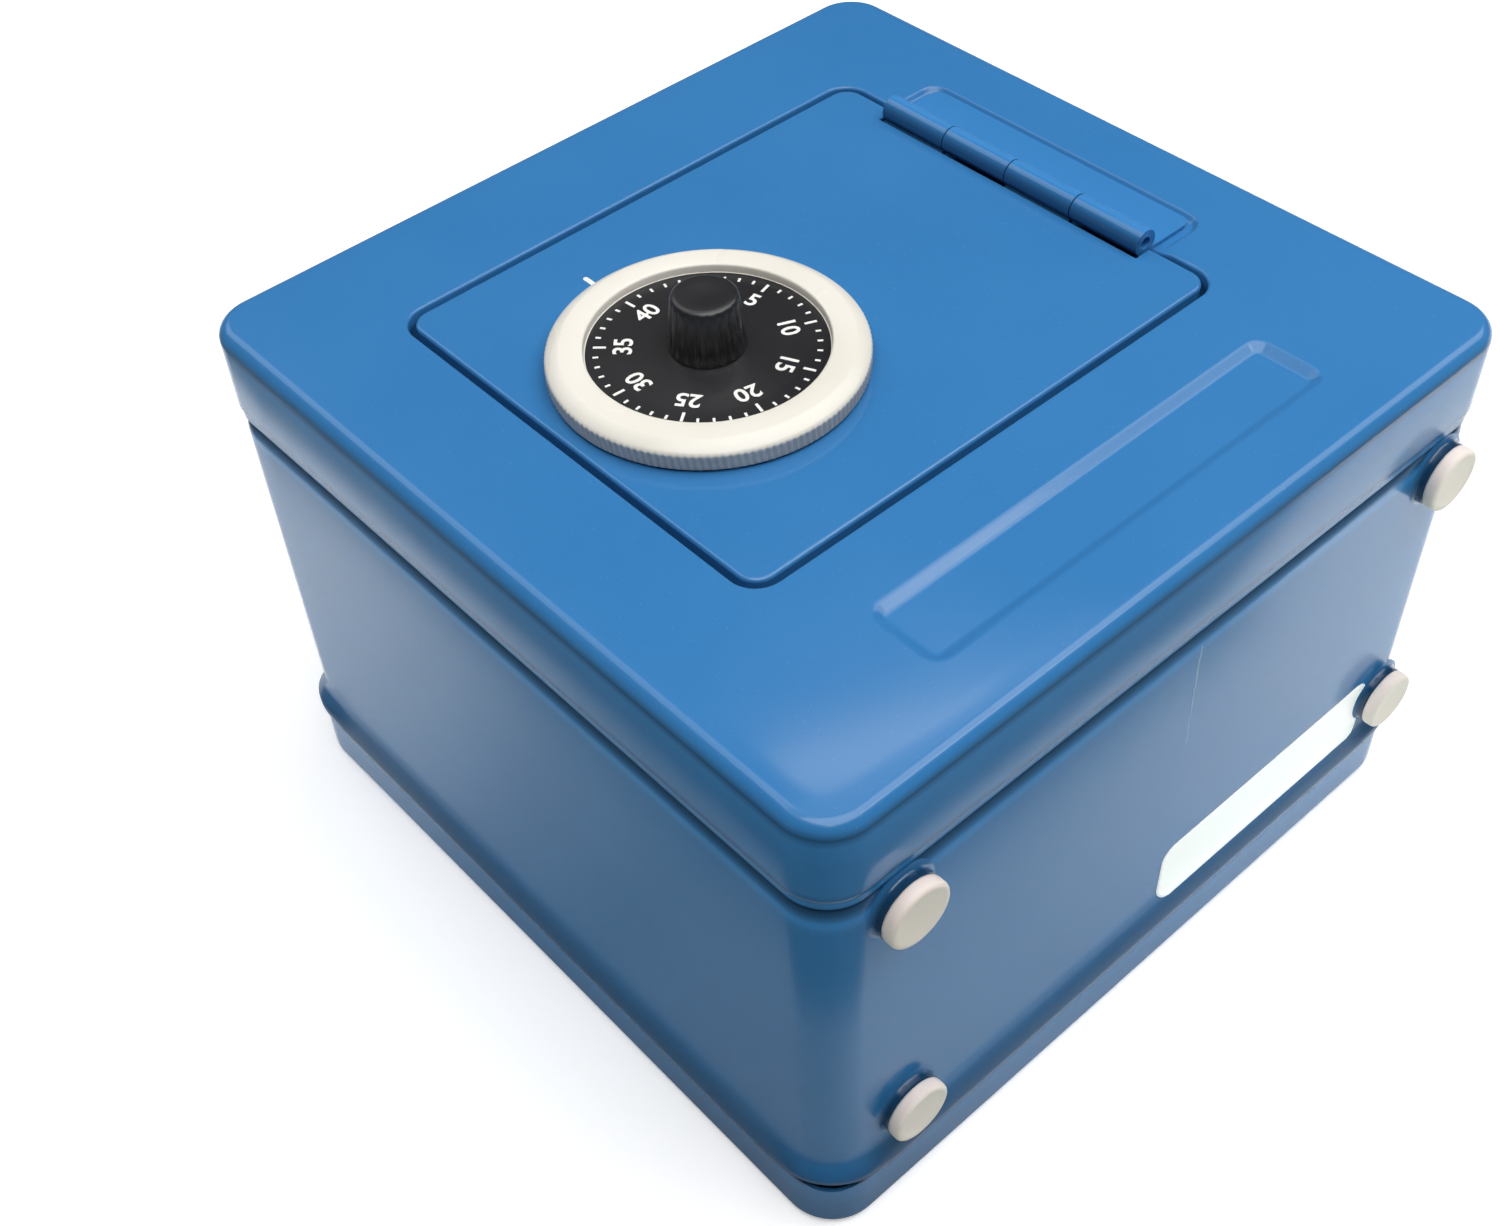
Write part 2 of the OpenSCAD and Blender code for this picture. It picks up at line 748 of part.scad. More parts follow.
module lock_case() color(zinc) on_dial() {
    difference() {
        union() {
            lock_slab(case_front, case_back) case_outline(0);
            for (spot = ear_spots)
                lock_slab(case_front, case_front + case_wall) {
                    translate(spot) circle(ear_r);
                    translate([spot.x - ear_r, spot.y > 0 ? spot.y - ear_r - 1 : spot.y])
                        square([2 * ear_r, ear_r + 1]);
                }
        }
        lock_slab(case_front + case_wall, case_back + past) difference() {
            case_outline(case_wall);
            for (spot = screw_spots) translate(spot) circle(boss_r);
        }
        for (spot = ear_spots)
            lock_slab(0, case_back) translate(spot) circle(stud_r + 0.1);
        for (spot = screw_spots)
            lock_slab(case_back - 8, case_back + past) translate(spot) circle(1.3);
        lock_slab(0, case_back) circle(spindle_d / 2 + 2);
        // Mouth for the bolt
        translate([-case_left - past, bolt_y - bolt_h / 2 - slide_fit,
            -bolt_front - bolt_t - slide_fit])
            cube([case_wall + 2 * past, bolt_h + 2 * slide_fit, bolt_t + 2 * slide_fit]);
    }
    bolt_guides();
}

// Back plate of the lock, with the post that the wheels turn on
module lock_cover() color(zinc) on_dial() {
    groove_at = post_front + 0.5;
    difference() {
        union() {
            lock_slab(case_back, case_back + case_wall) case_outline(0);
            lock_slab(post_front, case_back) circle(post_r);
            lock_slab(wheel_front + 2 * wheel_pitch + wheel_t + 0.1, case_back)
                circle(spacer_r);
        }
        for (spot = screw_spots)
            lock_slab(case_back - past, case_back + 2 * case_wall)
                translate(spot) circle(1.6);
        // Groove for the clip
        lock_slab(groove_at - 0.4, groove_at + 0.4) difference() {
            circle(post_r + past);
            circle(post_r - 0.8);
        }
    }
}

module cover_screws() color(steel) on_dial() {
    head_r = 2.8;
    for (spot = screw_spots) translate(spot) {
        difference() {
            lock_slab(case_back + case_wall, case_back + case_wall + 1.8) circle(head_r);
            lock_slab(case_back + case_wall + 1, case_back + 2 * case_wall + past)
                square([2 * head_r + past, 0.9], center = true);
        }
        lock_slab(case_back - screw_len, case_back + case_wall) circle(1.25);
    }
}

// The gate's place on each wheel, in degrees from the fence, as left by a spun dial
gates = [70, 165, 290];

// A tumbler wheel, its gate and the lug that the next one behind pushes
module wheel(n) color(brass) on_dial() {
    front = wheel_front + n * wheel_pitch;
    lock_slab(front, front + wheel_t) difference() {
        circle(wheel_r);
        circle(post_r + run_fit);
        rotate(fence_turn + gates[n]) translate([-gate_w / 2, wheel_r - gate_deep])
            square([gate_w, 2 * gate_deep]);
    }
    // Pin through the wheel: the one in front pushes it, and it pushes the next one
    back = front + wheel_t - (n < 2 ? 0 : 0.2);
    rotate(pick_turn * (n + 1)) translate([pick_r, 0, -back - (n < 2 ? push_long : 0)])
        cylinder(r = push_r, h = back - front + push_long + (n < 2 ? push_long : 0));
}

module wheel_1() wheel(0);
module wheel_2() wheel(1);
module wheel_3() wheel(2);

// Keyed washers between the wheels, which stop one dragging the next
module wheel_spacers() color(steel) on_dial() {
    for (n = [0 : 1]) {
        back = wheel_front + n * wheel_pitch + wheel_t;
        lock_slab(back + 0.05, back + wheel_pitch - wheel_t - 0.05) difference() {
            circle(spacer_r);
            circle(post_r + 0.02);
        }
    }
}

// Spring clip in the post's groove
module post_clip() color(steel) on_dial() {
    groove_at = post_front + 0.5;
    lock_slab(groove_at - 0.3, groove_at + 0.3) difference() {
        circle(post_r + 1.2);
        circle(post_r - 0.75);
        translate([-post_r / 2, 0]) square([post_r, 2 * post_r]);
    }
}

// Cam on the spindle's end; its notch takes the lever's nose
module drive_cam() color(brass) on_dial() {
    hub_r = spindle_d / 2 + 3;
    difference() {
        union() {
            lock_slab(cam_front, cam_back) difference() {
                circle(cam_r);
                rotate(-60) polygon([
                    [-nose_w / 2 - 0.6, cam_r + past], [-nose_w / 2 + 1, cam_r - 4.5],
                    [nose_w / 2 - 0.6, cam_r - 4.5], [nose_w / 2 - 0.6, cam_r + past]]);
            }
            lock_slab(case_front + case_wall + 0.3, cam_front) circle(hub_r);
        }
        cylinder(r = spindle_d / 2 + 0.02, h = 4 * cam_back, center = true);
    }
    // Pin that picks up the first wheel
    translate([pick_r, 0, -cam_back - push_long]) cylinder(r = push_r, h = push_long + 1);
}

module bolt() color(steel) on_dial() {
    nose = 3;
    back = bolt_front + bolt_t;
    difference() {
        union() {
            translate([-bolt_tip, bolt_y - bolt_h / 2, -back])
                cube([bolt_tip - bolt_tail, bolt_h, bolt_t]);
            // Pad that brings the lever into the cam's plane
            lock_slab(lever_front + lever_t + 0.1, bolt_front) translate(pivot) circle(3.6);
        }
        // Bevel on the bolt's tip
        translate([-bolt_tip, bolt_y, -back]) rotate([0, -45, 0])
            cube([nose, bolt_h + 2 * past, nose], center = true);
        lock_slab(0, back - 2) translate(pivot) circle(screw_r - 0.6);
        // Slot for the stop pin
        translate([stop_x, bolt_y - bolt_h / 2, -bolt_front - bolt_t / 2])
            rotate([90, 0, 0]) linear_extrude(2 * (stop_h + slide_fit), center = true)
                for (x = [0, bolt_throw]) translate([x, 0]) circle(stop_r + run_fit);
        translate([stop_x, bolt_y - bolt_h / 2 - past, -bolt_front - bolt_t / 2 - stop_r - run_fit])
            cube([bolt_throw, past + stop_h + slide_fit, 2 * (stop_r + run_fit)]);
    }
}

// Shoulder screw that the fence lever turns on
module lever_screw() color(steel) on_dial() {
    lock_slab(lever_front - 0.2, lever_front + lever_t + 0.1) translate(pivot)
        circle(screw_r);
    lock_slab(lever_front + lever_t + 0.1, bolt_front + screw_deep) translate(pivot)
        circle(screw_r - 0.65);
    lock_slab(lever_front - 1.4, lever_front - 0.2) translate(pivot) circle(screw_r + 1);
}

// Lever with the fence that drops into the wheels' gates and the nose that rides the cam
module fence_lever() color(steel) on_dial() {
    lock_slab(lever_front, lever_front + lever_t) difference() {
        union() {
            translate(pivot) circle(hub_r);
            polygon([
                pivot + hub_r * [-cos(hub_turn), sin(hub_turn)],
                pivot + hub_r * [cos(hub_turn), -sin(hub_turn)],
                [fence_x - tip / 2, fence_y], [nose_x - tip, nose_y + tip],
                [nose_x, nose_y], [nose_x + nose_w - tip / 2, nose_y],
                [nose_x + nose_w, nose_y + tip / 2], [nose_x + nose_w, lever_top - tip],
                [nose_x + nose_w - tip, lever_top], [fence_x - 2 * tip, lever_top]]);
        }
        translate(pivot) circle(screw_r + run_fit);
    }
    lock_slab(lever_front + lever_t - 0.2, fence_back)
        translate([fence_x, fence_y]) square(fence_w);
}

// Wire spring: half a turn round the screw's head, one leg on the bolt's guide and one
// that stops the lever at the top of its lift
module lever_spring() color(steel) on_dial() {
    wire_r = 0.35;
    leg_r = 0.32;
    coil_r = screw_r + 1 + wire_r + 0.1;
    leg = 9;
    rise = lever_top - pivot.y + wire_r + leg * sin(lever_lift) + 0.4;
    translate([pivot.x, pivot.y, -lever_front + 0.2 + wire_r + 0.1]) {
        rotate([0, 0, 90]) rotate_extrude(angle = 180) translate([coil_r, 0]) circle(wire_r);
        translate([-0.2, coil_r, 0]) rotate([0, 90, 0])
            cylinder(r = leg_r, h = leg + 0.2 + leg_r);
        translate([leg, coil_r - leg_r, 0]) rotate([-90, 0, 0])
            cylinder(r = leg_r - 0.02, h = rise - coil_r + 2 * leg_r);
        translate([-0.2, -coil_r, 0]) rotate([0, 90, 0]) cylinder(r = leg_r, h = 3);
        translate([leg, rise, -lever_t - 0.6]) cylinder(r = leg_r - 0.04, h = lever_t + 0.7);
    }
}

front_cover();
body_shell();
back_cover();
foot_front_left();
foot_front_right();
foot_rear_left();
foot_rear_right();
door_stops();
door_panel();
hinge_frame_leaf();
hinge_door_leaf();
hinge_pin();
hinge_rivets();
door_studs();
spindle_bushing();
dial_ring();
dial_plate();
dial_knob();
dial_spindle();
drive_cam();
lock_case();
lock_cover();
lock_nuts();
cover_screws();
wheel_1();
wheel_2();
wheel_3();
wheel_spacers();
post_clip();
bolt();
lever_screw();
fence_lever();
lever_spring();
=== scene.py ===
# %% [markdown]
# # A small combination safe
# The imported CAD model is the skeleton: every piece has its exact place in it. This
# script dresses that skeleton, so it starts by loading the frame and noting its box.

# %% Load the frame
import json
import math

import bmesh
import bpy
import numpy as np
from mathutils import Matrix, Vector
from mathutils.geometry import delaunay_2d_cdt


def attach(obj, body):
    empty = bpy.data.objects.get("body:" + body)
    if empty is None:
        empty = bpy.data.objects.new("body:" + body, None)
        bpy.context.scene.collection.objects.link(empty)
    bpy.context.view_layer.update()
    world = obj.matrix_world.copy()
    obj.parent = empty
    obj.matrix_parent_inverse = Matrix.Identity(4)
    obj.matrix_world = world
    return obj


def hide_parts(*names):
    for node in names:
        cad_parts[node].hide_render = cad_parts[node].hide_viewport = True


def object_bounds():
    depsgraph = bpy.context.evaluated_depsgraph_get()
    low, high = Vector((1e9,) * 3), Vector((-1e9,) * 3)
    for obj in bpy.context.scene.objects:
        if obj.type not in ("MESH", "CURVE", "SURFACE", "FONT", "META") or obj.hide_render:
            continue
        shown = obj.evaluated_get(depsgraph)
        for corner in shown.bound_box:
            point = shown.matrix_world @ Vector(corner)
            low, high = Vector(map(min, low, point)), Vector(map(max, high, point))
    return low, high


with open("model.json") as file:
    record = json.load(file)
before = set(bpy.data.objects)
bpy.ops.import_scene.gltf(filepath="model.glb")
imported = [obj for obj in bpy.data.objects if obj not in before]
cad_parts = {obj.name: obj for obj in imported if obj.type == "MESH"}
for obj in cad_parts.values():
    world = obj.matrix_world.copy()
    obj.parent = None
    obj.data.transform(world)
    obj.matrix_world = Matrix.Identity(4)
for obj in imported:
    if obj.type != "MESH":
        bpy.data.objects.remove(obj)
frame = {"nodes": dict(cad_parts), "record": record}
cad_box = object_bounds()
nodes = frame["nodes"]
print("nodes loaded:", len(nodes))

# %% [markdown]
# ## Camera
# A photograph's view is found from straight edges whose real directions are known. The
# same place, direction and lens go into Blender's camera. A small shift moves the
# picture on the sensor, as when a photograph has been trimmed.

# %% Camera
PHOTO_W, PHOTO_H = 1500, 1226
FOCAL_PX = 1879.64
CENTRE_PX = (736.15, 633.56)
CAMERA_AT = (-0.2465, -0.3427, -0.1428)
RIGHTWARD = Vector((0.7459, 0.0447, -0.6645))
FORWARD = Vector((0.4284, 0.7318, 0.5301))


def linked(name, data):
    """An object for a mesh, a lamp or a camera, put into the scene."""
    made = bpy.data.objects.new(name, data)
    bpy.context.scene.collection.objects.link(made)
    return made


camera = linked("camera", bpy.data.cameras.new("camera"))
camera.data.sensor_width = 36.0
camera.data.lens = FOCAL_PX / PHOTO_W * camera.data.sensor_width
camera.data.shift_x = (PHOTO_W / 2 - CENTRE_PX[0]) / PHOTO_W
camera.data.shift_y = (CENTRE_PX[1] - PHOTO_H / 2) / PHOTO_W
camera.data.clip_start = 0.01
right = RIGHTWARD.normalized()
forward = (FORWARD - FORWARD.dot(right) * right).normalized()
turn = Matrix((right, right.cross(forward), -forward)).transposed().to_4x4()
camera.matrix_world = Matrix.Translation(CAMERA_AT) @ turn
bpy.context.scene.camera = camera
print("lens in mm:", round(camera.data.lens, 2))

# %% [markdown]
# ## Shader nodes from a script
# A material is a graph of small nodes. By hand they are dropped in and wired one by one.
# In a script a few helpers do the same and keep the later cells short: each adds one
# node, fills its inputs with numbers or with other nodes' sockets, and gives back what
# the node works out.

# %% Helpers for shader nodes
def feed(tree, into, item):
    """Wires a socket into an input, or sets the input to a plain value."""
    if isinstance(item, bpy.types.NodeSocket):
        tree.links.new(item, into)
    else:
        into.default_value = item


def add_node(tree, kind, *items, **settings):
    """Adds one shader node, sets its settings and fills its inputs in their order."""
    made = tree.nodes.new("ShaderNode" + kind)
    for key, value in settings.items():
        setattr(made, key, value)
    for slot, item in enumerate(items):
        feed(tree, made.inputs[slot], item)
    return made


def maths(tree, how, *items):
    """One step with numbers, such as a sum or a product."""
    return add_node(tree, "Math", *items, operation=how).outputs[0]


def vectors(tree, how, *items):
    """One step with vectors or colours; gives back all its outputs."""
    return add_node(tree, "VectorMath", *items, operation=how).outputs


def scaled(tree, vector, factor):
    """A vector or colour times a factor."""
    made = add_node(tree, "VectorMath", vector, operation="SCALE")
    feed(tree, made.inputs["Scale"], factor)
    return made.outputs[0]


def mixed(tree, factor, first, second, kind="RGBA"):
    """From the first colour at 0 to the second at 1; numbers where kind is FLOAT."""
    made = add_node(tree, "Mix", data_type=kind)
    for key, item in (("Factor", factor), ("A", first), ("B", second)):
        feed(tree, made.inputs[key], item)
    return made.outputs["Result"]


def ramp(tree, value, low, high, to_low=0.0, to_high=1.0, how="SMOOTHSTEP"):
    """Maps low..high to another range, smoothly unless how is LINEAR."""
    made = add_node(tree, "MapRange", interpolation_type=how)
    for key, item in (("Value", value), ("From Min", low), ("From Max", high),
            ("To Min", to_low), ("To Max", to_high)):
        feed(tree, made.inputs[key], item)
    return made.outputs["Result"]


def noise(tree, vector, scale, detail=3.0):
    """A noise texture on a vector; scale is in waves per metre."""
    made = add_node(tree, "TexNoise")
    for key, item in (("Vector", vector), ("Scale", scale), ("Detail", detail)):
        feed(tree, made.inputs[key], item)
    return made.outputs["Fac"]


print("helpers:", [f.__name__ for f in (maths, vectors, scaled, mixed, ramp, noise)])

# %% [markdown]
# ## Stage
# In the photograph the safe lies on its back on a white table. Here it stands on its
# feet, so that table is an upright sheet behind the back cover. It has a hole just
# smaller than the cover, with rounded corners, which lets light reach the back. A
# second pale floor lies under the feet. Both are one-sided: seen from behind, they let
# the view through. The sheet looks darker in the gloss of the left wall than in that of
# the underside, so its brightness goes by the angle round the safe.

# %% Stage: places and brightness, in metres
# How far the sheets reach, the table's place, half the side of its hole and the radius
# of the hole's corners, the height of the safe's middle, and the floor's height
FAR = 4.0
TABLE_Y = cad_box[1].y + 0.0004
HOLE, ROUND = 0.1095, 0.0125
MID_Z = 0.1154
FLOOR_Z = -0.0003
# The grey that the camera sees, and the glow that lifts it
SEEN, LIFT = (0.92, 0.92, 0.92, 1), 0.36
# Where round the safe (0 and 1: the -X side) and how bright the sheet looks there,
# first in gloss, then as the light it throws back. Each has its own tint.
AROUND = ((0.0, 0.26), (0.06, 0.33), (0.125, 0.3), (0.17, 0.56), (0.28, 0.5), (0.4, 1.02),
    (0.86, 0.95), (0.9, 0.85), (0.94, 0.42), (1.0, 0.26))
AROUND_TINT = (1.3, 1.3, 1.3)
BOUNCE = ((0.0, 0.85), (0.06, 0.7), (0.125, 0.05), (0.19, 0.72), (0.4, 0.85), (0.9, 0.95),
    (1.0, 0.85))
BOUNCE_TINT = (1.3, 1.5, 1.38)
# In gloss the sheet ends a few centimetres from the left wall and the underside. Its
# distance is counted from NEAR on, left of or below the safe's middle, and over the
# distances FADE it falls to the share FADED. Right of RIGHT_FROM, SLANT for each metre
# comes off that distance, so the sheet reaches further out there.
NEAR, FADE, FADED = 0.1, (0.055, 0.075), 0.18
RIGHT_FROM, SLANT = 0.12, 0.45
print("table behind the safe at y in mm:", round(TABLE_Y * 1000, 2))

# %% Stage: a one-sided white
def by_angle(tree, turns, levels, tint):
    """A grey that goes by the angle, times a tint; levels are (share of a turn, grey)."""
    look = add_node(tree, "ValToRGB", turns)
    while len(look.color_ramp.elements) < len(levels):
        look.color_ramp.elements.new(0.5)
    for stop, (where, level) in zip(look.color_ramp.elements, levels):
        stop.position, stop.color = where, (level, level, level, 1)
    look.color_ramp.interpolation = "B_SPLINE"
    return vectors(tree, "MULTIPLY", look.outputs["Color"], tint)[0]


def one_sided(name):
    """A matt white that is clear from behind.

    The camera sees one grey. The safe sees a brightness that goes by the angle round
    it: atan2(z - middle, x), as a share of a turn.
    """
    made = bpy.data.materials.new(name)
    made.use_nodes = True
    tree = made.node_tree
    tree.nodes.clear()
    path = add_node(tree, "LightPath").outputs
    place = add_node(tree, "TexCoord").outputs["Object"]
    x, _, z = add_node(tree, "SeparateXYZ", place).outputs
    angle = maths(tree, "ARCTAN2", maths(tree, "SUBTRACT", z, MID_Z), x)
    turns = maths(tree, "MULTIPLY_ADD", angle, 1 / math.tau, 0.5)
    outward = vectors(tree, "MULTIPLY_ADD", place, (-1, 0, -1), (-NEAR, 0, MID_Z - NEAR))[0]
    beyond = vectors(tree, "LENGTH", vectors(tree, "MAXIMUM", outward, (0, 0, 0))[0])["Value"]
    to_right = maths(tree, "MAXIMUM", maths(tree, "SUBTRACT", x, RIGHT_FROM), 0)
    fade = ramp(tree, maths(tree, "MULTIPLY_ADD", to_right, -SLANT, beyond), *FADE, 1.0, FADED)
    gloss = scaled(tree, by_angle(tree, turns, AROUND, AROUND_TINT), fade)
    thrown = by_angle(tree, turns, BOUNCE, BOUNCE_TINT)
    white = mixed(tree, path["Is Camera Ray"],
        mixed(tree, path["Is Glossy Ray"], thrown, gloss), SEEN)
    glow = add_node(tree, "Emission", (1, 1, 1, 1),
        maths(tree, "MULTIPLY", path["Is Camera Ray"], LIFT)).outputs[0]
    front = add_node(tree, "AddShader",
        add_node(tree, "BsdfDiffuse", white).outputs[0], glow).outputs[0]
    add_node(tree, "OutputMaterial", add_node(tree, "MixShader",
        add_node(tree, "NewGeometry").outputs["Backfacing"], front,
        add_node(tree, "BsdfTransparent").outputs[0]).outputs[0])
    return made


table_white, floor_white = one_sided("table_white"), one_sided("floor_white")
print("nodes in the table's white:", len(table_white.node_tree.nodes))

# %% Stage: table and floor
def sheet(name, points, faces, material):
    """A flat mesh for the stage; a face shows on the side its corners run anticlockwise."""
    mesh = bpy.data.meshes.new(name)
    mesh.from_pydata(points, [], faces)
    mesh.materials.append(material)
    made = linked(name, mesh)
    return made


square = ((-1, -1), (1, -1), (1, 1), (-1, 1))
# The sheet's four corners come first, then ARC points round each corner of the hole.
# These join the sheet's corner as a fan, and a quad closes each side.
ARC, straight = 9, HOLE - ROUND
hole = [(sx * straight + ROUND * math.cos(a), TABLE_Y, MID_Z + sz * straight + ROUND * math.sin(a))
    for i, (sx, sz) in enumerate(square)
    for a in np.radians(180 + 90 * i + np.linspace(0, 90, ARC))]
start = [4 + ARC * i for i in range(4)]
fans = [(i, start[i] + k + 1, start[i] + k) for i in range(4) for k in range(ARC - 1)]
sides = [(i, (i + 1) % 4, start[(i + 1) % 4], start[i] + ARC - 1) for i in range(4)]
table = sheet("table", [(sx * FAR, TABLE_Y, sz * FAR) for sx, sz in square] + hole,
    fans + sides, table_white)
floor = sheet("floor", [(sx * FAR, sy * FAR, FLOOR_Z) for sx, sy in square], [(0, 1, 2, 3)],
    floor_white)
for ray in ("diffuse", "glossy", "transmission", "shadow"):
    setattr(floor, "visible_" + ray, False)
print("stage:", table.name, floor.name)

# %% [markdown]
# ## Light
# The face shows one broad soft highlight near its lowest corner, and its rolled edges
# show a bright line. Mirrored back from the camera, the highlight comes from a large
# softbox straight in front of the door, bright in the middle and dimmer at its border,
# with a small strip where the highlight is brightest. Two more boxes, above and to the
# right, and a low strip are mirrored only in the rolled edges and in the slopes of the
# stampings. The room behind the lights is dim, so the paint keeps its full colour.

# %% Softboxes and strips
def softbox(name, place, wide, high, watts, tilt=0.0):
    """A rectangular area light at a place, facing the door; tilt is in degrees."""
    lamp = bpy.data.lights.new(name, "AREA")
    lamp.shape = "RECTANGLE"
    lamp.size, lamp.size_y = wide, high
    lamp.energy = watts
    made = linked(name, lamp)
    made.matrix_world = (Matrix.Translation(place) @ Matrix.Rotation(math.radians(tilt), 4, "Y")
        @ Matrix.Rotation(math.radians(90), 4, "X"))
    made.visible_camera = False


# Each lamp's place, width, height and watts
softbox("softbox_border", (0.0, -1.28, -0.15), 1.8, 1.7, 9.5)
softbox("softbox_core", (-0.15, -1.27, -0.25), 1.0, 1.0, 9.2)
softbox("tall_box", (-0.17, -1.27, 1.62), 0.95, 2.0, 9.5)
softbox("wide_box", (1.28, -1.27, -0.28), 1.85, 0.95, 14.0)
softbox("strip", (0.62, -1.26, 0.7), 0.27, 0.022, 0.28, 24.0)
softbox("strip_low", (0.72, -1.26, -0.655), 0.5, 0.08, 0.7)

# %% The room
world = bpy.data.worlds.new("studio")
bpy.context.scene.world = world
world.use_nodes = True
tree = world.node_tree
ahead = add_node(tree, "SeparateXYZ", add_node(tree, "TexCoord").outputs["Generated"])
# Dim behind the lights (towards -Y), brighter behind the safe; the camera sees white
DIM, BRIGHT, WHITE = 0.05, 0.8, 0.95
room = ramp(tree, ahead.outputs["Y"], -0.1, 0.3, DIM, BRIGHT, "LINEAR")
seen = mixed(tree, add_node(tree, "LightPath").outputs["Is Camera Ray"], room, WHITE, "FLOAT")
background = tree.nodes["Background"]
background.inputs["Color"].default_value = (1, 1, 1, 1)
tree.links.new(seen, background.inputs["Strength"])
bpy.context.scene.view_settings.view_transform = "Standard"
print("world:", world.name)

# %% [markdown]
# ## Finishes
# The safe wears one coat of blue stoving enamel on sheet steel. Such a coat is glossy
# with a faint orange peel, the sheet under it is never quite flat, and the tone wanders
# a little. Dust settles in it as fine specks. One node group holds these effects, and
# each material places it with its own values. A finish can also be shaded by place:
# painted shade darkens the blue in the folds of the sheet, and painted highlights
# lighten it on their crests.

# %% A group for surfaces that are never quite even
# Waves per metre of the sheet's buckles, of the drift in tone and of the dust
BUCKLES, DRIFT, SPECKS = 9.0, 14.0, 1500.0


def uneven_group():
    """Tone: slow drift of the colour. Height: peel and waves, in metres. Specks: a mask."""
    group = bpy.data.node_groups.new("uneven_surface", "ShaderNodeTree")
    for name, value in (("Peel Scale", 900.0), ("Peel Depth", 0.00001), ("Wave Depth", 0.0001)):
        group.interface.new_socket(name=name, in_out="INPUT",
            socket_type="NodeSocketFloat").default_value = value
    for name in ("Tone", "Height", "Specks"):
        group.interface.new_socket(name=name, in_out="OUTPUT", socket_type="NodeSocketFloat")
    given = group.nodes.new("NodeGroupInput").outputs
    out = group.nodes.new("NodeGroupOutput").inputs
    place = add_node(group, "TexCoord").outputs["Object"]
    peel = maths(group, "MULTIPLY", noise(group, place, given["Peel Scale"], 2.0),
        given["Peel Depth"])
    waves = maths(group, "MULTIPLY", noise(group, place, BUCKLES, 1.0), given["Wave Depth"])
    group.links.new(noise(group, place, DRIFT), out["Tone"])
    group.links.new(maths(group, "ADD", peel, waves), out["Height"])
    group.links.new(ramp(group, noise(group, place, SPECKS, 0.0), 0.78, 0.82), out["Specks"])
    return group


uneven = uneven_group()
print("group sockets:", [s.name for s in uneven.interface.items_tree])

# %% A factor that goes by place
MM = 0.001
# The face of the front cover and the door, in mm along Y; the safe's depth counts from it
FRONT = -67.5


def behind(*stops):
    """Stops given in mm behind the front face, as a shade along Y."""
    return "Y", [(deep + FRONT, level) for deep, level in stops]


def by_place(tree, axis, stops):
    """A factor that goes by one coordinate; stops are (mm along the axis, factor)."""
    split = add_node(tree, "SeparateXYZ", add_node(tree, "TexCoord").outputs["Object"])
    first, last = stops[0][0] * MM, stops[-1][0] * MM
    share = ramp(tree, split.outputs[axis], first, last, how="LINEAR")
    curve = add_node(tree, "FloatCurve")
    points = curve.mapping.curves[0].points
    while len(points) < len(stops):
        points.new(0.5, 0.5)
    # The curve holds half the factor, because its values end at 1
    for point, (where, level) in zip(points, stops):
        point.location = ((where * MM - first) / (last - first), level / 2)
        point.handle_type = "VECTOR"
    curve.mapping.update()
    tree.links.new(share, curve.inputs["Value"])
    return maths(tree, "MULTIPLY", curve.outputs["Value"], 2.0)


print("a shade 3 mm behind the face:", behind((3, 0.5)))

# %% One maker for every finish
DUST = (0.62, 0.64, 0.66, 1)


def finish(name, base, other, rough, rough_other, peel_scale, peel_depth, wave_depth=0.0,
           metal=0.0, specks=0.0, shade=(), glow=0.0, mirror=0.5):
    """Colour drifts from base to other, roughness from rough to rough_other.

    shade is a list of (axis, stops): painted shade and painted highlights that go by place.
    """
    made = bpy.data.materials.new(name)
    made.use_nodes = True
    tree = made.node_tree
    surface = tree.nodes["Principled BSDF"].inputs
    for key, value in (("Metallic", metal), ("Specular IOR Level", mirror),
            ("Emission Strength", glow), ("Emission Color", (1, 1, 1, 1))):
        surface[key].default_value = value
    effect = add_node(tree, "Group", node_tree=uneven)
    for key, value in (("Peel Scale", peel_scale), ("Peel Depth", peel_depth),
            ("Wave Depth", wave_depth)):
        effect.inputs[key].default_value = value
    tone = effect.outputs["Tone"]
    colour = mixed(tree, ramp(tree, tone, 0.3, 0.7), (*base, 1), (*other, 1))
    colour = mixed(tree, maths(tree, "MULTIPLY", effect.outputs["Specks"], specks), colour, DUST)
    for axis, stops in shade:
        colour = scaled(tree, colour, by_place(tree, axis, stops))
    relief = add_node(tree, "Bump")
    for key, item in (("Strength", 1.0), ("Distance", 1.0), ("Height", effect.outputs["Height"])):
        feed(tree, relief.inputs[key], item)
    tree.links.new(colour, surface["Base Color"])
    tree.links.new(ramp(tree, tone, 0.3, 0.7, rough, rough_other), surface["Roughness"])
    tree.links.new(relief.outputs["Normal"], surface["Normal"])
    return made


steel = finish("plated_steel", (0.6, 0.6, 0.62), (0.68, 0.68, 0.69), 0.28, 0.42,
    2500.0, 0.000006, metal=1.0)
zinc = finish("cast_zinc", (0.42, 0.43, 0.45), (0.5, 0.51, 0.53), 0.45, 0.6,
    1800.0, 0.00003, metal=1.0)
brass = finish("brass", (0.72, 0.52, 0.22), (0.8, 0.6, 0.28), 0.25, 0.38,
    2500.0, 0.000006, metal=1.0)
rubber = finish("cream_rubber", (0.84, 0.73, 0.67), (0.92, 0.81, 0.75), 0.55, 0.75,
    3000.0, 0.00003, specks=0.1)
cream = finish("cream_enamel", (0.72, 0.69, 0.61), (0.79, 0.76, 0.69), 0.2, 0.3,
    1500.0, 0.000006)
black = finish("black_enamel", (0.012, 0.012, 0.014), (0.02, 0.02, 0.022), 0.22, 0.32,
    2000.0, 0.000006)
print("finishes:", [m.name for m in (steel, zinc, brass, rubber, cream, black)])
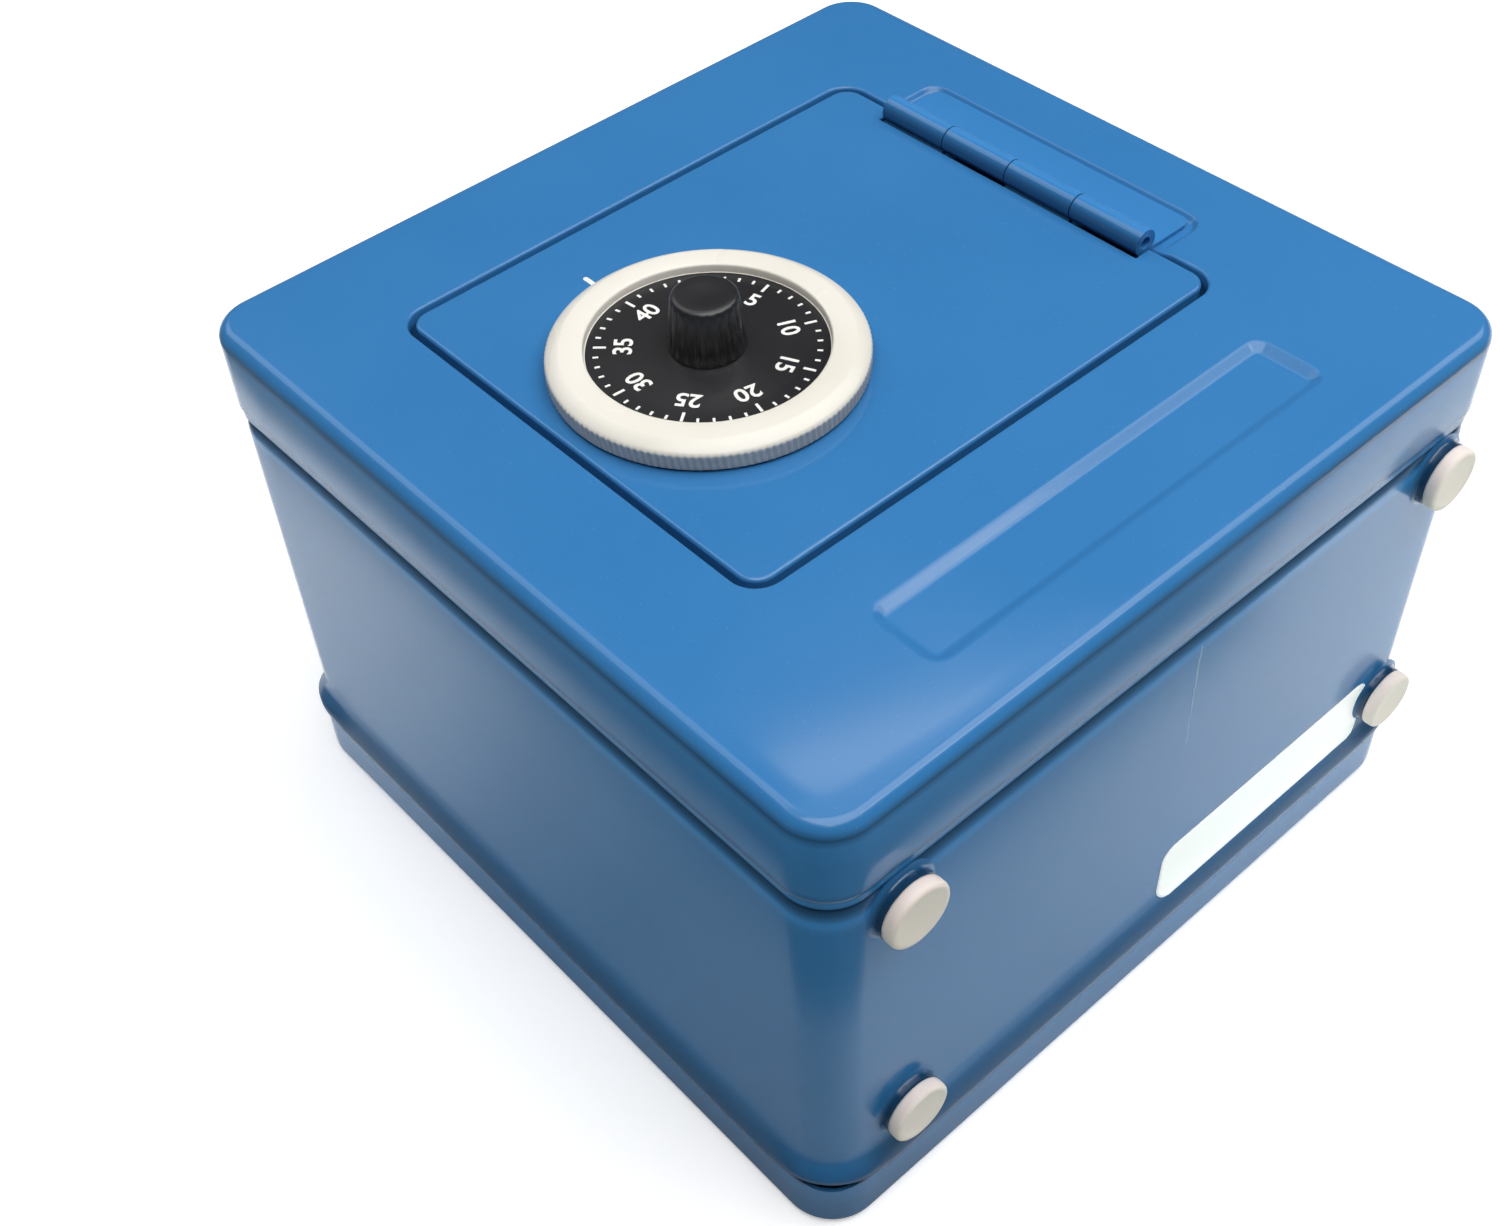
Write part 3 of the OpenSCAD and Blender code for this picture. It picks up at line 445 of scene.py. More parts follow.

# %% Blue enamel, with painted shade and highlights for each sheet
def blue(name, *shade, mirror=0.5):
    """The safe's blue coat, with its own painted shade and highlights by place."""
    return finish(name, (0.034, 0.176, 0.42), (0.038, 0.186, 0.435), 0.12, 0.17,
        1100.0, 0.000004, 0.0006, specks=0.05, shade=shade, mirror=mirror)


paint = blue("blue_enamel")
# Painted shade down the hinge barrel's left side (x 66.8 mm) and a painted highlight along its top
# (x 70.5 mm)
hinge_paint_shaded = blue("blue_enamel_hinge_shaded", ("X", [(40, 1), (66.2, 1), (66.8, 0.45), (68.2, 0.85),
    (70.5, 1.3), (73, 1.15), (110, 1)]))
# Painted shade in a line below the rolled edge's crest (3.4 mm behind the face), at the hem (23.6
# mm) and at the groove (26.2 mm); painted highlights just behind the first two
cover_paint_shaded = blue("blue_enamel_cover_shaded", behind((0, 1), (1.6, 1), (2.6, 0.8), (3.4, 0.5),
    (4.4, 0.8), (6, 1.1), (9, 1.05), (12, 1), (21, 1), (22.5, 0.7), (23.6, 0.45), (24.3, 1.1),
    (25.4, 1.1), (26.2, 0.3)), mirror=0.42)
# Painted shade in the groove (24 to 28.8 mm) and on the flare (129 to 136.6 mm), painted
# highlights on the shoulder (31.4 mm) and at the lip's end (138.2 mm)
body_paint_shaded = blue("blue_enamel_body_shaded", behind((24, 0.4), (27.7, 0.4), (28.8, 0.45), (30.2, 0.85),
    (31.4, 1.35), (32.8, 1.3), (34.2, 1.05), (36, 1), (124, 1), (126.8, 1), (129, 0.82),
    (131, 0.68), (134, 0.48), (136.6, 0.5), (137.5, 1), (138.2, 1.2)))
# Painted shade on the bosses' sides, darkest near the ground
boss_paint_shaded = blue("blue_enamel_boss_shaded", ("Z", [(0, 0.2), (4.6, 0.25), (5.6, 0.6), (6.1, 1),
    (20, 1)]))
# Painted shade at the rim's front edge (136 mm) and a painted highlight just behind it (139.2 mm)
back_paint_shaded = blue("blue_enamel_back_shaded", behind((136, 0.15), (138.2, 0.5), (139.2, 1.2),
    (141, 1.15), (143, 1.1), (146, 1), (155, 1)))
# A weld under the paint shows as a faint ridge on the underside; its lighter blue is a
# painted highlight along the ridge
weld_paint_highlight = finish("blue_enamel_weld_highlight", (0.2, 0.36, 0.56), (0.25, 0.42, 0.6), 0.12, 0.17,
    700.0, 0.00003)
print("blue paints:", [m.name for m in bpy.data.materials if m.name.startswith("blue")])

# %% [markdown]
# ## Dressing the CAD nodes
# A piece whose CAD shape is right only needs a better surface. The record says which
# material slot each node belongs to, so the finishes are handed out by slot, and the
# mesh itself is left alone.

# %% Every CAD node takes a finish
by_slot = {"cabinet_paint": paint, "plated_steel": steel, "lock_zinc": zinc, "brass": brass,
    "foot_rubber": rubber, "dial_ring_metal": cream, "dial_black": black}
slot_of = {s["node"]: s["material_slot"] for s in frame["record"]["subparts"]}
for name, node in nodes.items():
    node.data.materials.clear()
    node.data.materials.append(by_slot[slot_of[name]])
# The hinge's leaves take the blue with the painted shade and highlight of their barrel
for name in ("hinge_frame_leaf", "hinge_door_leaf"):
    nodes[name].data.materials[0] = hinge_paint_shaded
print("dressed nodes:", len(nodes))

# %% [markdown]
# ## Sheet metal as sections carried along a path
# A folded sheet could be modelled by hand with bevels, but the folds of this cabinet
# all run round the same rounded square. So each sheet is one section, a list of points
# (how far out, how deep), carried round that path with numpy. The same section then
# turns every corner without a seam, and its values are the sheet's real sizes. From
# here on all sizes are in mm, and a finished mesh is scaled to metres.

# %% A path and a section carried along it
def round_path(wide, high, radius, centre, arc=12, side=16):
    """Stations round a rounded rectangle, anticlockwise from its right side.

    Each corner turns its normal (cos a, sin a) by 90 degrees about the corner's centre,
    and the normal then stays fixed along the straight side to the next centre.
    Returns centres, normals and the radius; a point at offset o lies at
    centre + (radius + o) * normal.
    """
    signs = np.array([(1, 1), (-1, 1), (-1, -1), (1, -1)], float)
    corners = np.array(centre) + signs * (np.array((wide, high)) / 2 - radius)
    a = np.radians(np.arange(4)[:, None] * 90 + np.linspace(0, 90, arc + 1))
    bend = np.stack((np.cos(a), np.sin(a)), -1)
    t = np.linspace(0, 1, side + 1)[1:-1, None]
    ahead = np.roll(corners, -1, 0)
    straight = corners[:, None] * (1 - t) + ahead[:, None] * t
    centres = np.concatenate((np.repeat(corners[:, None], arc + 1, 1), straight), 1)
    normals = np.concatenate((bend, np.repeat(bend[:, -1:], side - 1, 1)), 1)
    return centres.reshape(-1, 2), normals.reshape(-1, 2), radius


def carried(path, out, deep):
    """Points (x, front + deep, z) of a section at every station of a path."""
    centres, normals, radius = path
    out, deep = (np.broadcast_to(v, (len(centres), np.shape(v)[-1])) for v in (out, deep))
    flat = centres[:, None] + (radius + out)[..., None] * normals[:, None]
    return np.stack((flat[..., 0], FRONT + deep, flat[..., 1]), -1)


def quads(grid, ring=True, tube=False):
    """Faces between neighbours of a stations x points grid.

    A ring joins its last station to its first, a tube its last point to its first.
    """
    index = np.arange(grid.shape[0] * grid.shape[1]).reshape(grid.shape[:2])
    if ring:
        index = np.concatenate((index, index[:1]), 0)
    if tube:
        index = np.concatenate((index, index[:, :1]), 1)
    return np.stack((index[:-1, :-1], index[1:, :-1], index[1:, 1:], index[:-1, 1:]),
        -1).reshape(-1, 4)


def arc_points(centre, radius, start, end, steps):
    """Points of an arc in a section, angles in degrees from 'out' towards the front."""
    a = np.radians(np.linspace(start, end, steps + 1))
    return [(centre[0] + radius * math.cos(v), centre[1] - radius * math.sin(v)) for v in a]


# The cabinet's outline seen from the front: its middle, its side and its corner radius
MIDDLE, SIDE, CORNER = (0, 115.4), 220, 12
cover_path = round_path(SIDE, SIDE, CORNER, MIDDLE)
print("stations round the cover:", len(cover_path[0]))

# %% Points and faces made into a piece
# Points nearer than JOIN become one, and edges shorter than SLIVER go, in metres
JOIN, SLIVER = 2e-6, 1e-7


def piece(name, parts, material, bend_angle=35.0):
    """One mesh from (points in mm, faces) parts; joins touching points, faces outward."""
    points, faces, first = [], [], 0
    for part_points, part_faces in parts:
        part_points = np.asarray(part_points, float).reshape(-1, 3)
        points.append(part_points)
        faces += [tuple(int(i) + first for i in face) for face in part_faces]
        first += len(part_points)
    mesh = bpy.data.meshes.new(name)
    mesh.from_pydata((np.concatenate(points) * MM).tolist(), [], faces)
    work = bmesh.new()
    work.from_mesh(mesh)
    bmesh.ops.remove_doubles(work, verts=work.verts, dist=JOIN)
    bmesh.ops.dissolve_degenerate(work, edges=work.edges, dist=SLIVER)
    bmesh.ops.recalc_face_normals(work, faces=work.faces)
    work.to_mesh(mesh)
    work.free()
    mesh.polygons.foreach_set("use_smooth", np.ones(len(mesh.polygons), bool))
    mesh.set_sharp_from_angle(angle=math.radians(bend_angle))
    mesh.materials.append(material)
    print(name, "faces", len(mesh.polygons))
    return linked(name, mesh)


def takes(made, body, slot, *names):
    """The piece rides on a body and stands for CAD nodes, which it hides; slot is not used."""
    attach(made, body)
    if names:
        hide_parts(*names)


print("points are joined within mm:", JOIN / MM)

# %% [markdown]
# ## Front cover
# A pressed sheet has no sharp line: its edge rolls over, the long stamping and the
# hinge pocket sink with soft S-shaped sides, and the opening is folded inward. The edge
# and the fold are sections carried round. The flat part between them is cut into
# triangles with a Delaunay fill, and its depth is worked out at every point from the
# distance to each stamping's outline.

# %% Front cover: stampings
# Width, height, corner radius and centre (x, z) of each outline, in mm
DOORWAY = (149.6, 128, 7.1, (-1.3, 125.6))
LONG_BAR = (126.4, 21.0, 4.5, (0.0, 32.8))
HINGE_POCKET = (33.6, 93.6, 5.3, (73.5, 125.6))
# Each stamping with its depth and the width of its slope
STAMPINGS = ((LONG_BAR, 1.6, 3.2), (HINGE_POCKET, 1.4, 1.8))
BEND_SHARE = 0.22


def outline_distance(x, z, wide, high, radius, centre):
    """Signed distance to a rounded rectangle: negative inside."""
    qx = np.abs(x - centre[0]) - (wide / 2 - radius)
    qz = np.abs(z - centre[1]) - (high / 2 - radius)
    outside = np.hypot(np.maximum(qx, 0), np.maximum(qz, 0))
    return outside + np.minimum(np.maximum(qx, qz), 0) - radius


def sunk(x, z):
    """Depth of the stampings in mm: inside each outline a bend, a straight slope, a bend.

    With a bend taking the share c of the width, the steepness climbs evenly to
    1 / (1 - c), stays, and falls evenly; the depth is its running sum.
    """
    total, c = np.zeros_like(x), BEND_SHARE
    for outline, deep, slope in STAMPINGS:
        t = np.clip(-outline_distance(x, z, *outline) / slope, 0, 1)
        low, top = np.minimum(t, c), np.maximum(t - (1 - c), 0)
        climbed = low**2 / (2 * c) + np.maximum(t - c, 0) - top**2 / (2 * c)
        total += deep * climbed / (1 - c)
    return total


print("depth in the bar's middle:", sunk(np.array([0.0]), np.array([32.8])))

# %% Front cover: rolled edge, skirt and the fold round the doorway
# How far in the rolled edge starts, and how thick the cover's sheet is
FLAT_FROM, SHEET = -9.0, 1.5
edge = [(FLAT_FROM, 0.0)] + arc_points((-3.6, 3.6), 3.6, 90, 0, 14)
edge += [(0.0, 22.6), (-0.06, 23.0), (-0.44, 23.6), (-0.5, 24.0), (-0.5, 26.0), (-0.7, 26.2)]
edge += [(-1.3, 26.2), (-SHEET, 26.0), (-SHEET, 3.6)]
edge += arc_points((-3.6, 3.6), 3.6 - SHEET, 0, 90, 6)[1:] + [(FLAT_FROM, SHEET)]
section = np.array(edge)
edge_grid = carried(cover_path, section[:, 0], section[:, 1])

# The stampings' depth dies out over the first millimetres of the fold
DIES_OUT = 8
roll = np.linspace(0, math.pi / 2, 6)
fold = np.array([(1.2, 0.0)] + [(0.9 - 0.9 * math.sin(v), 0.9 - 0.9 * math.cos(v)) for v in roll]
    + [(0.0, 11.2), (0.2, 11.4), (1.3, 11.4), (SHEET, 11.2), (SHEET, SHEET)])
fold_grid = carried(round_path(*DOORWAY, arc=10, side=30), fold[:, 0], fold[:, 1])
level = sunk(fold_grid[..., 0], fold_grid[..., 2])
fold_grid[..., 1] += level * np.clip(1 - (fold_grid[..., 1] - FRONT) / DIES_OUT, 0, 1)
cover_parts = [(grid, quads(grid)) for grid in (edge_grid, fold_grid)]
print("edge and fold points:", [grid.shape[:2] for grid in (edge_grid, fold_grid)])

# %% Front cover: flat face between them
def from_doorway(x, z, off):
    """Signed distance to the doorway's outline after it is moved outward by off."""
    wide, high, radius, centre = DOORWAY
    return outline_distance(x, z, wide + 2 * off, high + 2 * off, radius + off, centre)


def filled(outer, inner, extra):
    """Triangles between two loops, with extra points inside; flat points as (x, z)."""
    count, inside = len(outer), len(inner)
    points = np.concatenate((outer, inner, extra))
    rims = [(i, (i + 1) % count) for i in range(count)]
    rims += [(count + i, count + (i + 1) % inside) for i in range(inside)]
    found = delaunay_2d_cdt([Vector(p) for p in points], rims, [], 0, 1e-6)
    flat = np.array([tuple(p) for p in found[0]])
    faces = np.array(found[2])
    middle = flat[faces].mean(1)
    face_side = SIDE + 2 * FLAT_FROM
    keep = from_doorway(*middle.T, 1.2) > 0
    keep &= outline_distance(*middle.T, face_side, face_side, CORNER + FLAT_FROM, MIDDLE) < 0
    return flat, faces[keep]


# Rings of points follow each stamping's slope, so that its bends get their own facets.
# They stay clear of the fold, which starts 1.2 mm outside the doorway.
extra = []
for (wide, high, radius, centre), deep, slope in STAMPINGS:
    ring = round_path(wide, high, radius, centre, arc=10, side=26)
    for inset in np.linspace(-0.6, slope + 0.6, 13):
        loop = ring[0] + (radius - inset) * ring[1]
        extra.append(loop[from_doorway(*loop.T, 1.2) > 0.6])
outer_loop = cover_path[0] + (CORNER + FLAT_FROM) * cover_path[1]
for at, shift in ((0, 0.0), (-1, SHEET)):
    flat, faces = filled(outer_loop, fold_grid[:, at][:, (0, 2)], np.concatenate(extra))
    level = sunk(*flat.T)
    if at:
        near = from_doorway(*flat.T, SHEET) < 0.02
        level = np.where(near, level * (1 - SHEET / DIES_OUT), level)
    cover_parts.append((np.stack((flat[:, 0], FRONT + shift + level, flat[:, 1]), -1), faces))
cover = piece("cover_skin", cover_parts, cover_paint_shaded)
takes(cover, "cabinet", "cabinet_paint", "front_cover")

# %% [markdown]
# ## Body
# The body is one sheet rolled round the same path. Its section carries the tongue that
# slips under the cover, the dark groove, the rounded shoulder, the wall, the flare and
# the lip. At each corner the lip is nibbled away in a crescent, so the last points of
# the section move with the distance from the corner's middle.

# %% Body: section
# Depth where the flare starts, radius of its bend, and depth of the lip's end
FLARE_FROM, FLARE_BEND, LIP_END = 125.86, 12, 138.2
# Tongue, shoulder, wall, the flare's bend, its slope and the lip
outside = [(-1.6, 12.2), (-1.6, 27.5)]
outside += [(-1.6 + math.sin(a), 27.6 + 4.0 * (1 - math.cos(a)))
    for a in np.linspace(0.1, math.pi / 2, 12)]
outside += [(-0.6, 34.0), (-0.6, 60.0), (-0.6, 95.0), (-0.6, 120.0)]
outside += [(FLARE_BEND * (1 - math.cos(a)) - 0.6, FLARE_FROM + FLARE_BEND * math.sin(a))
    for a in np.radians(np.linspace(0, 24, 9))]
slope_out, slope_in = outside[-1], (2.6, 135.6)
outside += [tuple(a + (b - a) * t for a, b in zip(slope_out, slope_in)) for t in (0.4, 0.85)]
outside += [(2.52, 135.55), (2.6, 135.9), (2.6, 137.9), (2.4, LIP_END)]
outside = np.array(outside)
# This sheet is 1 mm thick: its inner side is the same line, 1 mm further in
body_section = np.concatenate((outside, (outside - (1.0, 0))[::-1]))
print("points of the body's section:", len(body_section))

# %% Body: corner reliefs and mesh
def crescent(path, half, deep):
    """How far a corner relief eats into an edge: a parabola round each corner's middle."""
    centres, normals, radius = path
    at = centres + radius * normals
    reach = SIDE // 2 - CORNER + CORNER * math.sqrt(0.5)
    middle = np.where(at > MIDDLE, 1, -1) * reach + MIDDLE
    return deep * np.clip(1 - (np.hypot(*(at - middle).T) / half) ** 2, 0, 1)


def repeated(path, section):
    """A section's two columns, repeated at every station so that they can change there."""
    return [np.broadcast_to(section[:, i], (len(path[0]), len(section))).copy() for i in (0, 1)]


body_path = round_path(SIDE, SIDE, CORNER, MIDDLE, arc=16, side=28)
out, deep = repeated(body_path, body_section)
share = np.clip((deep - 128.5) / (LIP_END - 128.5), 0, 1)
deep -= share * crescent(body_path, 13.0, 4.6)[:, None]
grid = carried(body_path, out, deep)
body = piece("body_skin", [(grid, quads(grid, tube=True))], body_paint_shaded)
takes(body, "cabinet", "cabinet_paint", "body_shell")

# %% [markdown]
# ## Bosses and weld
# Under each foot the sheet is pressed down into a low round boss with a soft foot. It
# is a profile turned about an upright axis, as on a lathe. A weld's ridge runs along
# the underside: a half-round strip, thin at both ends, that wavers a little.

# %% Foot bosses
# Places of the feet: x, and the depth behind the front face
FEET = ((-88.6, 36.3), (92.4, 36.3), (-85.0, 119.7), (96.0, 119.7))


def upright(spot, profile, around=64):
    """A profile (radius, height above the ground) turned about an upright axis."""
    a = np.linspace(0, math.tau, around, endpoint=False)[:, None]
    radius, high = (np.broadcast_to(v, (around, len(profile))) for v in profile.T)
    return np.stack((spot[0] + radius * np.cos(a), FRONT + spot[1] + radius * np.sin(a), high), -1)


boss_profile = np.array([(0.01, 3.4), (8.1, 3.4), (8.4, 3.7), (8.4, 5.0), (8.5, 5.35), (8.75, 5.7),
    (9.2, 5.92), (9.9, 6.03), (9.9, 6.4), (0.01, 6.4)])
boss_grids = [upright(spot, boss_profile) for spot in FEET]
bosses = piece("foot_bosses", [(grid, quads(grid)) for grid in boss_grids], boss_paint_shaded)
takes(bosses, "cabinet", "cabinet_paint")

# %% A weld's ridge on the underside
length = np.linspace(0, 1, 60)[:, None]
half_round = np.linspace(0, math.pi, 9)[None]
wavers = 4.4 + 1.6 * length**2 + 0.12 * np.sin(23 * length)
narrow = 0.4 * np.sqrt(np.clip(1 - (2 * length - 1) ** 4, 0, 1)) * (1 - 0.5 * length)
ridge = np.stack(np.broadcast_arrays(wavers - narrow * np.cos(half_round),
    FRONT + 31.6 + 36 * length, 6.02 - 0.3 * narrow * np.sin(half_round)), -1)
weld = piece("weld_ridge", [(ridge, quads(ridge, ring=False)[:, [0, 3, 2, 1]])], weld_paint_highlight)
takes(weld, "cabinet", "cabinet_paint")

# %% [markdown]
# ## Back cover
# A shallow tray: a rim that slides into the body's lip, a rounded rear edge and a flat
# back. Only the rim's front edge changes along the path, where the corner is relieved.

# %% Back cover: shape
def capped(grid):
    """Quads of a ring, and one flat face over each of its two open ends."""
    index = np.arange(grid.shape[0] * grid.shape[1]).reshape(grid.shape[:2])
    return [tuple(f) for f in quads(grid)] + [tuple(index[:, -1][::-1]), tuple(index[:, 0])]


back_path = round_path(SIDE + 3, SIDE + 3, CORNER + 1.5, MIDDLE, arc=16, side=28)
tray = [(-10.0, 154.0), (-2.4, 154.0)]
tray += [(-2.4 + 1.4 * math.cos(a), 152.6 + 1.4 * math.sin(a))
    for a in np.linspace(math.pi / 2, 0, 6)[1:]]
tray += [(-1.0, 136.2), (-0.85, 136.0), (-0.15, 136.0), (0.0, 136.2), (0.0, 152.6)]
tray += [(-2.4 + 2.4 * math.cos(a), 152.6 + 2.4 * math.sin(a))
    for a in np.linspace(0.1, math.pi / 2, 9)]
tray += [(-10.0, 155.0)]
out, deep = repeated(back_path, np.array(tray))
deep += crescent(back_path, 12.0, 3.2)[:, None] * np.clip((140 - deep) / 4, 0, 1)
grid = carried(back_path, out, deep)
back = piece("back_skin", [(grid, capped(grid))], back_paint_shaded)
takes(back, "cabinet", "cabinet_paint", "back_cover")

# %% [markdown]
# ## Feet
# Each foot is a soft moulded disc. Its ground face is a little dished and its edge is
# rounded, which a plain cylinder doesn't show. A profile turned about the foot's axis
# gives both.

# %% Feet
foot_profile = np.array([(0.01, 0.35), (5.2, 0.3), (6.4, 0.12), (6.9, 0.0), (7.5, 0.0),
    (7.95, 0.16), (8.25, 0.5), (8.4, 1.0), (8.4, 2.6), (8.3, 3.1), (8.05, 3.38), (0.01, 3.38)])
for place, spot in zip(("front_left", "front_right", "rear_left", "rear_right"), FEET):
    grid = upright(spot, foot_profile)
    pad = piece("pad_" + place, [(grid, quads(grid))], rubber, 60.0)
    takes(pad, "cabinet", "foot_rubber", "foot_" + place)

# %% [markdown]
# ## Dial
# The ring is a turned profile whose side is rippled by a sine of the angle, so the
# knurling is part of the form. The number plate is a shallow dish. The ticks are thin
# blocks placed by angle, and the numbers are real text made into a mesh: a curve of a
# letter can't be worked out sensibly as a surface.

# %% Dial: ring
DIAL = (-33.2, 124.6)
TEETH, SIDE_FROM, SIDE_TO = 144, 10, 13


def turned(profile, around, ripple=None):
    """Points of a profile (radius, height above the face) turned about the dial's axis.

    ripple(angle, station) gives millimetres taken off the radius.
    """
    a = np.linspace(0, math.tau, around, endpoint=False)[:, None]
    radius, high = (np.broadcast_to(v, (around, len(profile))).copy() for v in profile.T)
    if ripple is not None:
        radius -= ripple(a, np.arange(len(profile))[None])
    return np.stack((DIAL[0] + radius * np.cos(a), FRONT - high, DIAL[1] + radius * np.sin(a)), -1)


def knurling(a, station):
    """Millimetres off the side's radius: 1 - cos of the angle times the teeth."""
    on_side = (station >= SIDE_FROM) & (station <= SIDE_TO)
    depth = 0.22 * (1 - np.cos(TEETH * a))
    return np.where(on_side, depth * np.where(station == SIDE_FROM, 0.4, 1.0), 0)


ring_profile = np.array([(27.2, 0.9), (27.2, 4.6), (28.5, 4.9), (28.6, 6.5), (28.75, 6.85),
    (29.1, 7.0), (34.0, 7.0), (34.6, 6.9), (37.0, 5.35), (37.5, 4.95), (37.8, 4.5), (37.8, 3.6),
    (37.8, 2.4), (37.8, 1.2), (37.5, 0.75), (37.0, 0.6), (27.5, 0.6)])
grid = turned(ring_profile, TEETH * 6, knurling)
ring = piece("ring_knurled", [(grid, quads(grid, tube=True))], cream, 50.0)
takes(ring, "dial", "dial_ring_metal", "dial_ring")

# %% Dial: the ring's bare side
# The cream enamel wears off the knurling, which is gripped each time the dial is turned
side_metal = finish("dial_ring_side", (0.5, 0.46, 0.41), (0.7, 0.66, 0.6), 0.3, 0.42,
    2500.0, 0.00001, metal=0.2)
ring.data.materials.append(side_metal)
middles = np.empty(len(ring.data.polygons) * 3, np.float32)
ring.data.polygons.foreach_get("center", middles)
middles = middles.reshape(-1, 3) / MM
reach = np.hypot(middles[:, 0] - DIAL[0], middles[:, 2] - DIAL[1])
bare = (reach > 36.9) & (FRONT - middles[:, 1] < 4.6)
ring.data.polygons.foreach_set("material_index", bare.astype(np.int32))
print("faces of bare metal:", bare.sum(), "of", len(bare))

# %% Dial: plate and knob
FLUTES = 20
plate_profile = np.array([(0.01, 5.6), (9.5, 5.6), (10.5, 5.5), (22.6, 4.9), (23.2, 4.85),
    (28.4, 4.85), (28.4, 3.6), (0.01, 3.6)])
grid = turned(plate_profile, 128)
plate = piece("plate_dished", [(grid, quads(grid))], black)
takes(plate, "dial", "dial_black", "dial_plate")


def fluting(a, station):
    """Millimetres off the knob's side: the positive part of a cosine, squared."""
    on_side = (station >= 5) & (station <= 8)
    return np.where(on_side, 0.3 * np.clip(np.cos(FLUTES * a), 0, 1) ** 2, 0)


knob_profile = np.array([(0.01, 19.6), (4.0, 19.8), (6.3, 19.95), (7.2, 19.75), (7.8, 19.2),
    (8.1, 18.3), (8.5, 14.0), (8.8, 9.0), (9.0, 6.9), (9.2, 6.4), (9.2, 5.4), (0.01, 5.4)])
grid = turned(knob_profile, 240, fluting)
knob = piece("knob_fluted", [(grid, quads(grid))], black, 50.0)
takes(knob, "dial", "dial_black", "dial_knob")

# %% Dial: ticks
# 45 divisions, with a long tick at every fifth; number 0 stands at FIRST degrees
DIVISIONS, FIRST = 45, 56.0
TICKS_TO, TICK_TOP, TICK_THICK = 26.5, 4.95, 0.12


def blocks(centres, turns, length, width, high, thick):
    """Thin blocks lying on the dial; arrays of centre (x, z) and radial angle."""
    along = np.stack((np.cos(turns), np.sin(turns)), -1)
    across = np.stack((-np.sin(turns), np.cos(turns)), -1)
    corner = np.array([(-1, -1), (1, -1), (1, 1), (-1, 1)]) / 2
    flat = (centres[:, None] + corner[None, :, :1] * length[:, None, None] * along[:, None]
        + corner[None, :, 1:] * width[:, None, None] * across[:, None])
    layers = [np.stack((flat[..., 0], np.full(flat.shape[:2], FRONT - level), flat[..., 1]), -1)
        for level in (high - thick, high)]
    box = np.array([(0, 1, 2, 3), (4, 7, 6, 5), (0, 4, 5, 1), (1, 5, 6, 2), (2, 6, 7, 3),
        (3, 7, 4, 0)])
    faces = box[None] + 8 * np.arange(len(centres))[:, None, None]
    return np.concatenate(layers, 1), faces.reshape(-1, 4)


white = finish("marking_white", (0.78, 0.78, 0.75), (0.84, 0.84, 0.81), 0.4, 0.55,
    3000.0, 0.00001)
step = np.arange(DIVISIONS)
angles = np.radians(FIRST - step * (360 / DIVISIONS))
major = step % 5 == 0
reach = np.where(major, 3.0, 1.3)
outward = np.stack((np.cos(angles), np.sin(angles)), -1)
centres = np.array(DIAL) + (TICKS_TO - reach / 2)[:, None] * outward
ticks = piece("dial_ticks", [blocks(centres, angles, reach, np.where(major, 0.7, 0.6),
    TICK_TOP, TICK_THICK)], white)
takes(ticks, "dial", "dial_ring_metal")

# %% Dial: numbers
# The text's size, and its place: how far from the dial's axis and above the face
TEXT_SIZE, TEXT_OUT, TEXT_UP = 6.2, 19.3, 5.13
for number, angle in zip(step[major], angles[major]):
    text = bpy.data.curves.new("text", "FONT")
    text.body = str(number)
    text.size = TEXT_SIZE * MM
    text.extrude = 0.06 * MM
    text.offset = 0.12 * MM
    text.align_x, text.align_y = "CENTER", "CENTER"
    held = bpy.data.objects.new("text", text)
    mesh = bpy.data.meshes.new_from_object(held)
    bpy.data.objects.remove(held)
    bpy.data.curves.remove(text)
    # Up in the text becomes outward, and its face looks along -Y
    turn = (Matrix.Rotation(-(angle - math.pi / 2), 4, "Y")
        @ Matrix.Rotation(math.radians(90), 4, "X"))
    where = Vector((DIAL[0] + TEXT_OUT * math.cos(angle), FRONT - TEXT_UP,
        DIAL[1] + TEXT_OUT * math.sin(angle))) * MM
    mesh.transform(Matrix.Translation(where) @ turn)
    mesh.materials.clear()
    mesh.materials.append(white)
    takes(linked("number_" + str(number), mesh), "dial", "dial_ring_metal")
print("numbers on the dial:", major.sum())

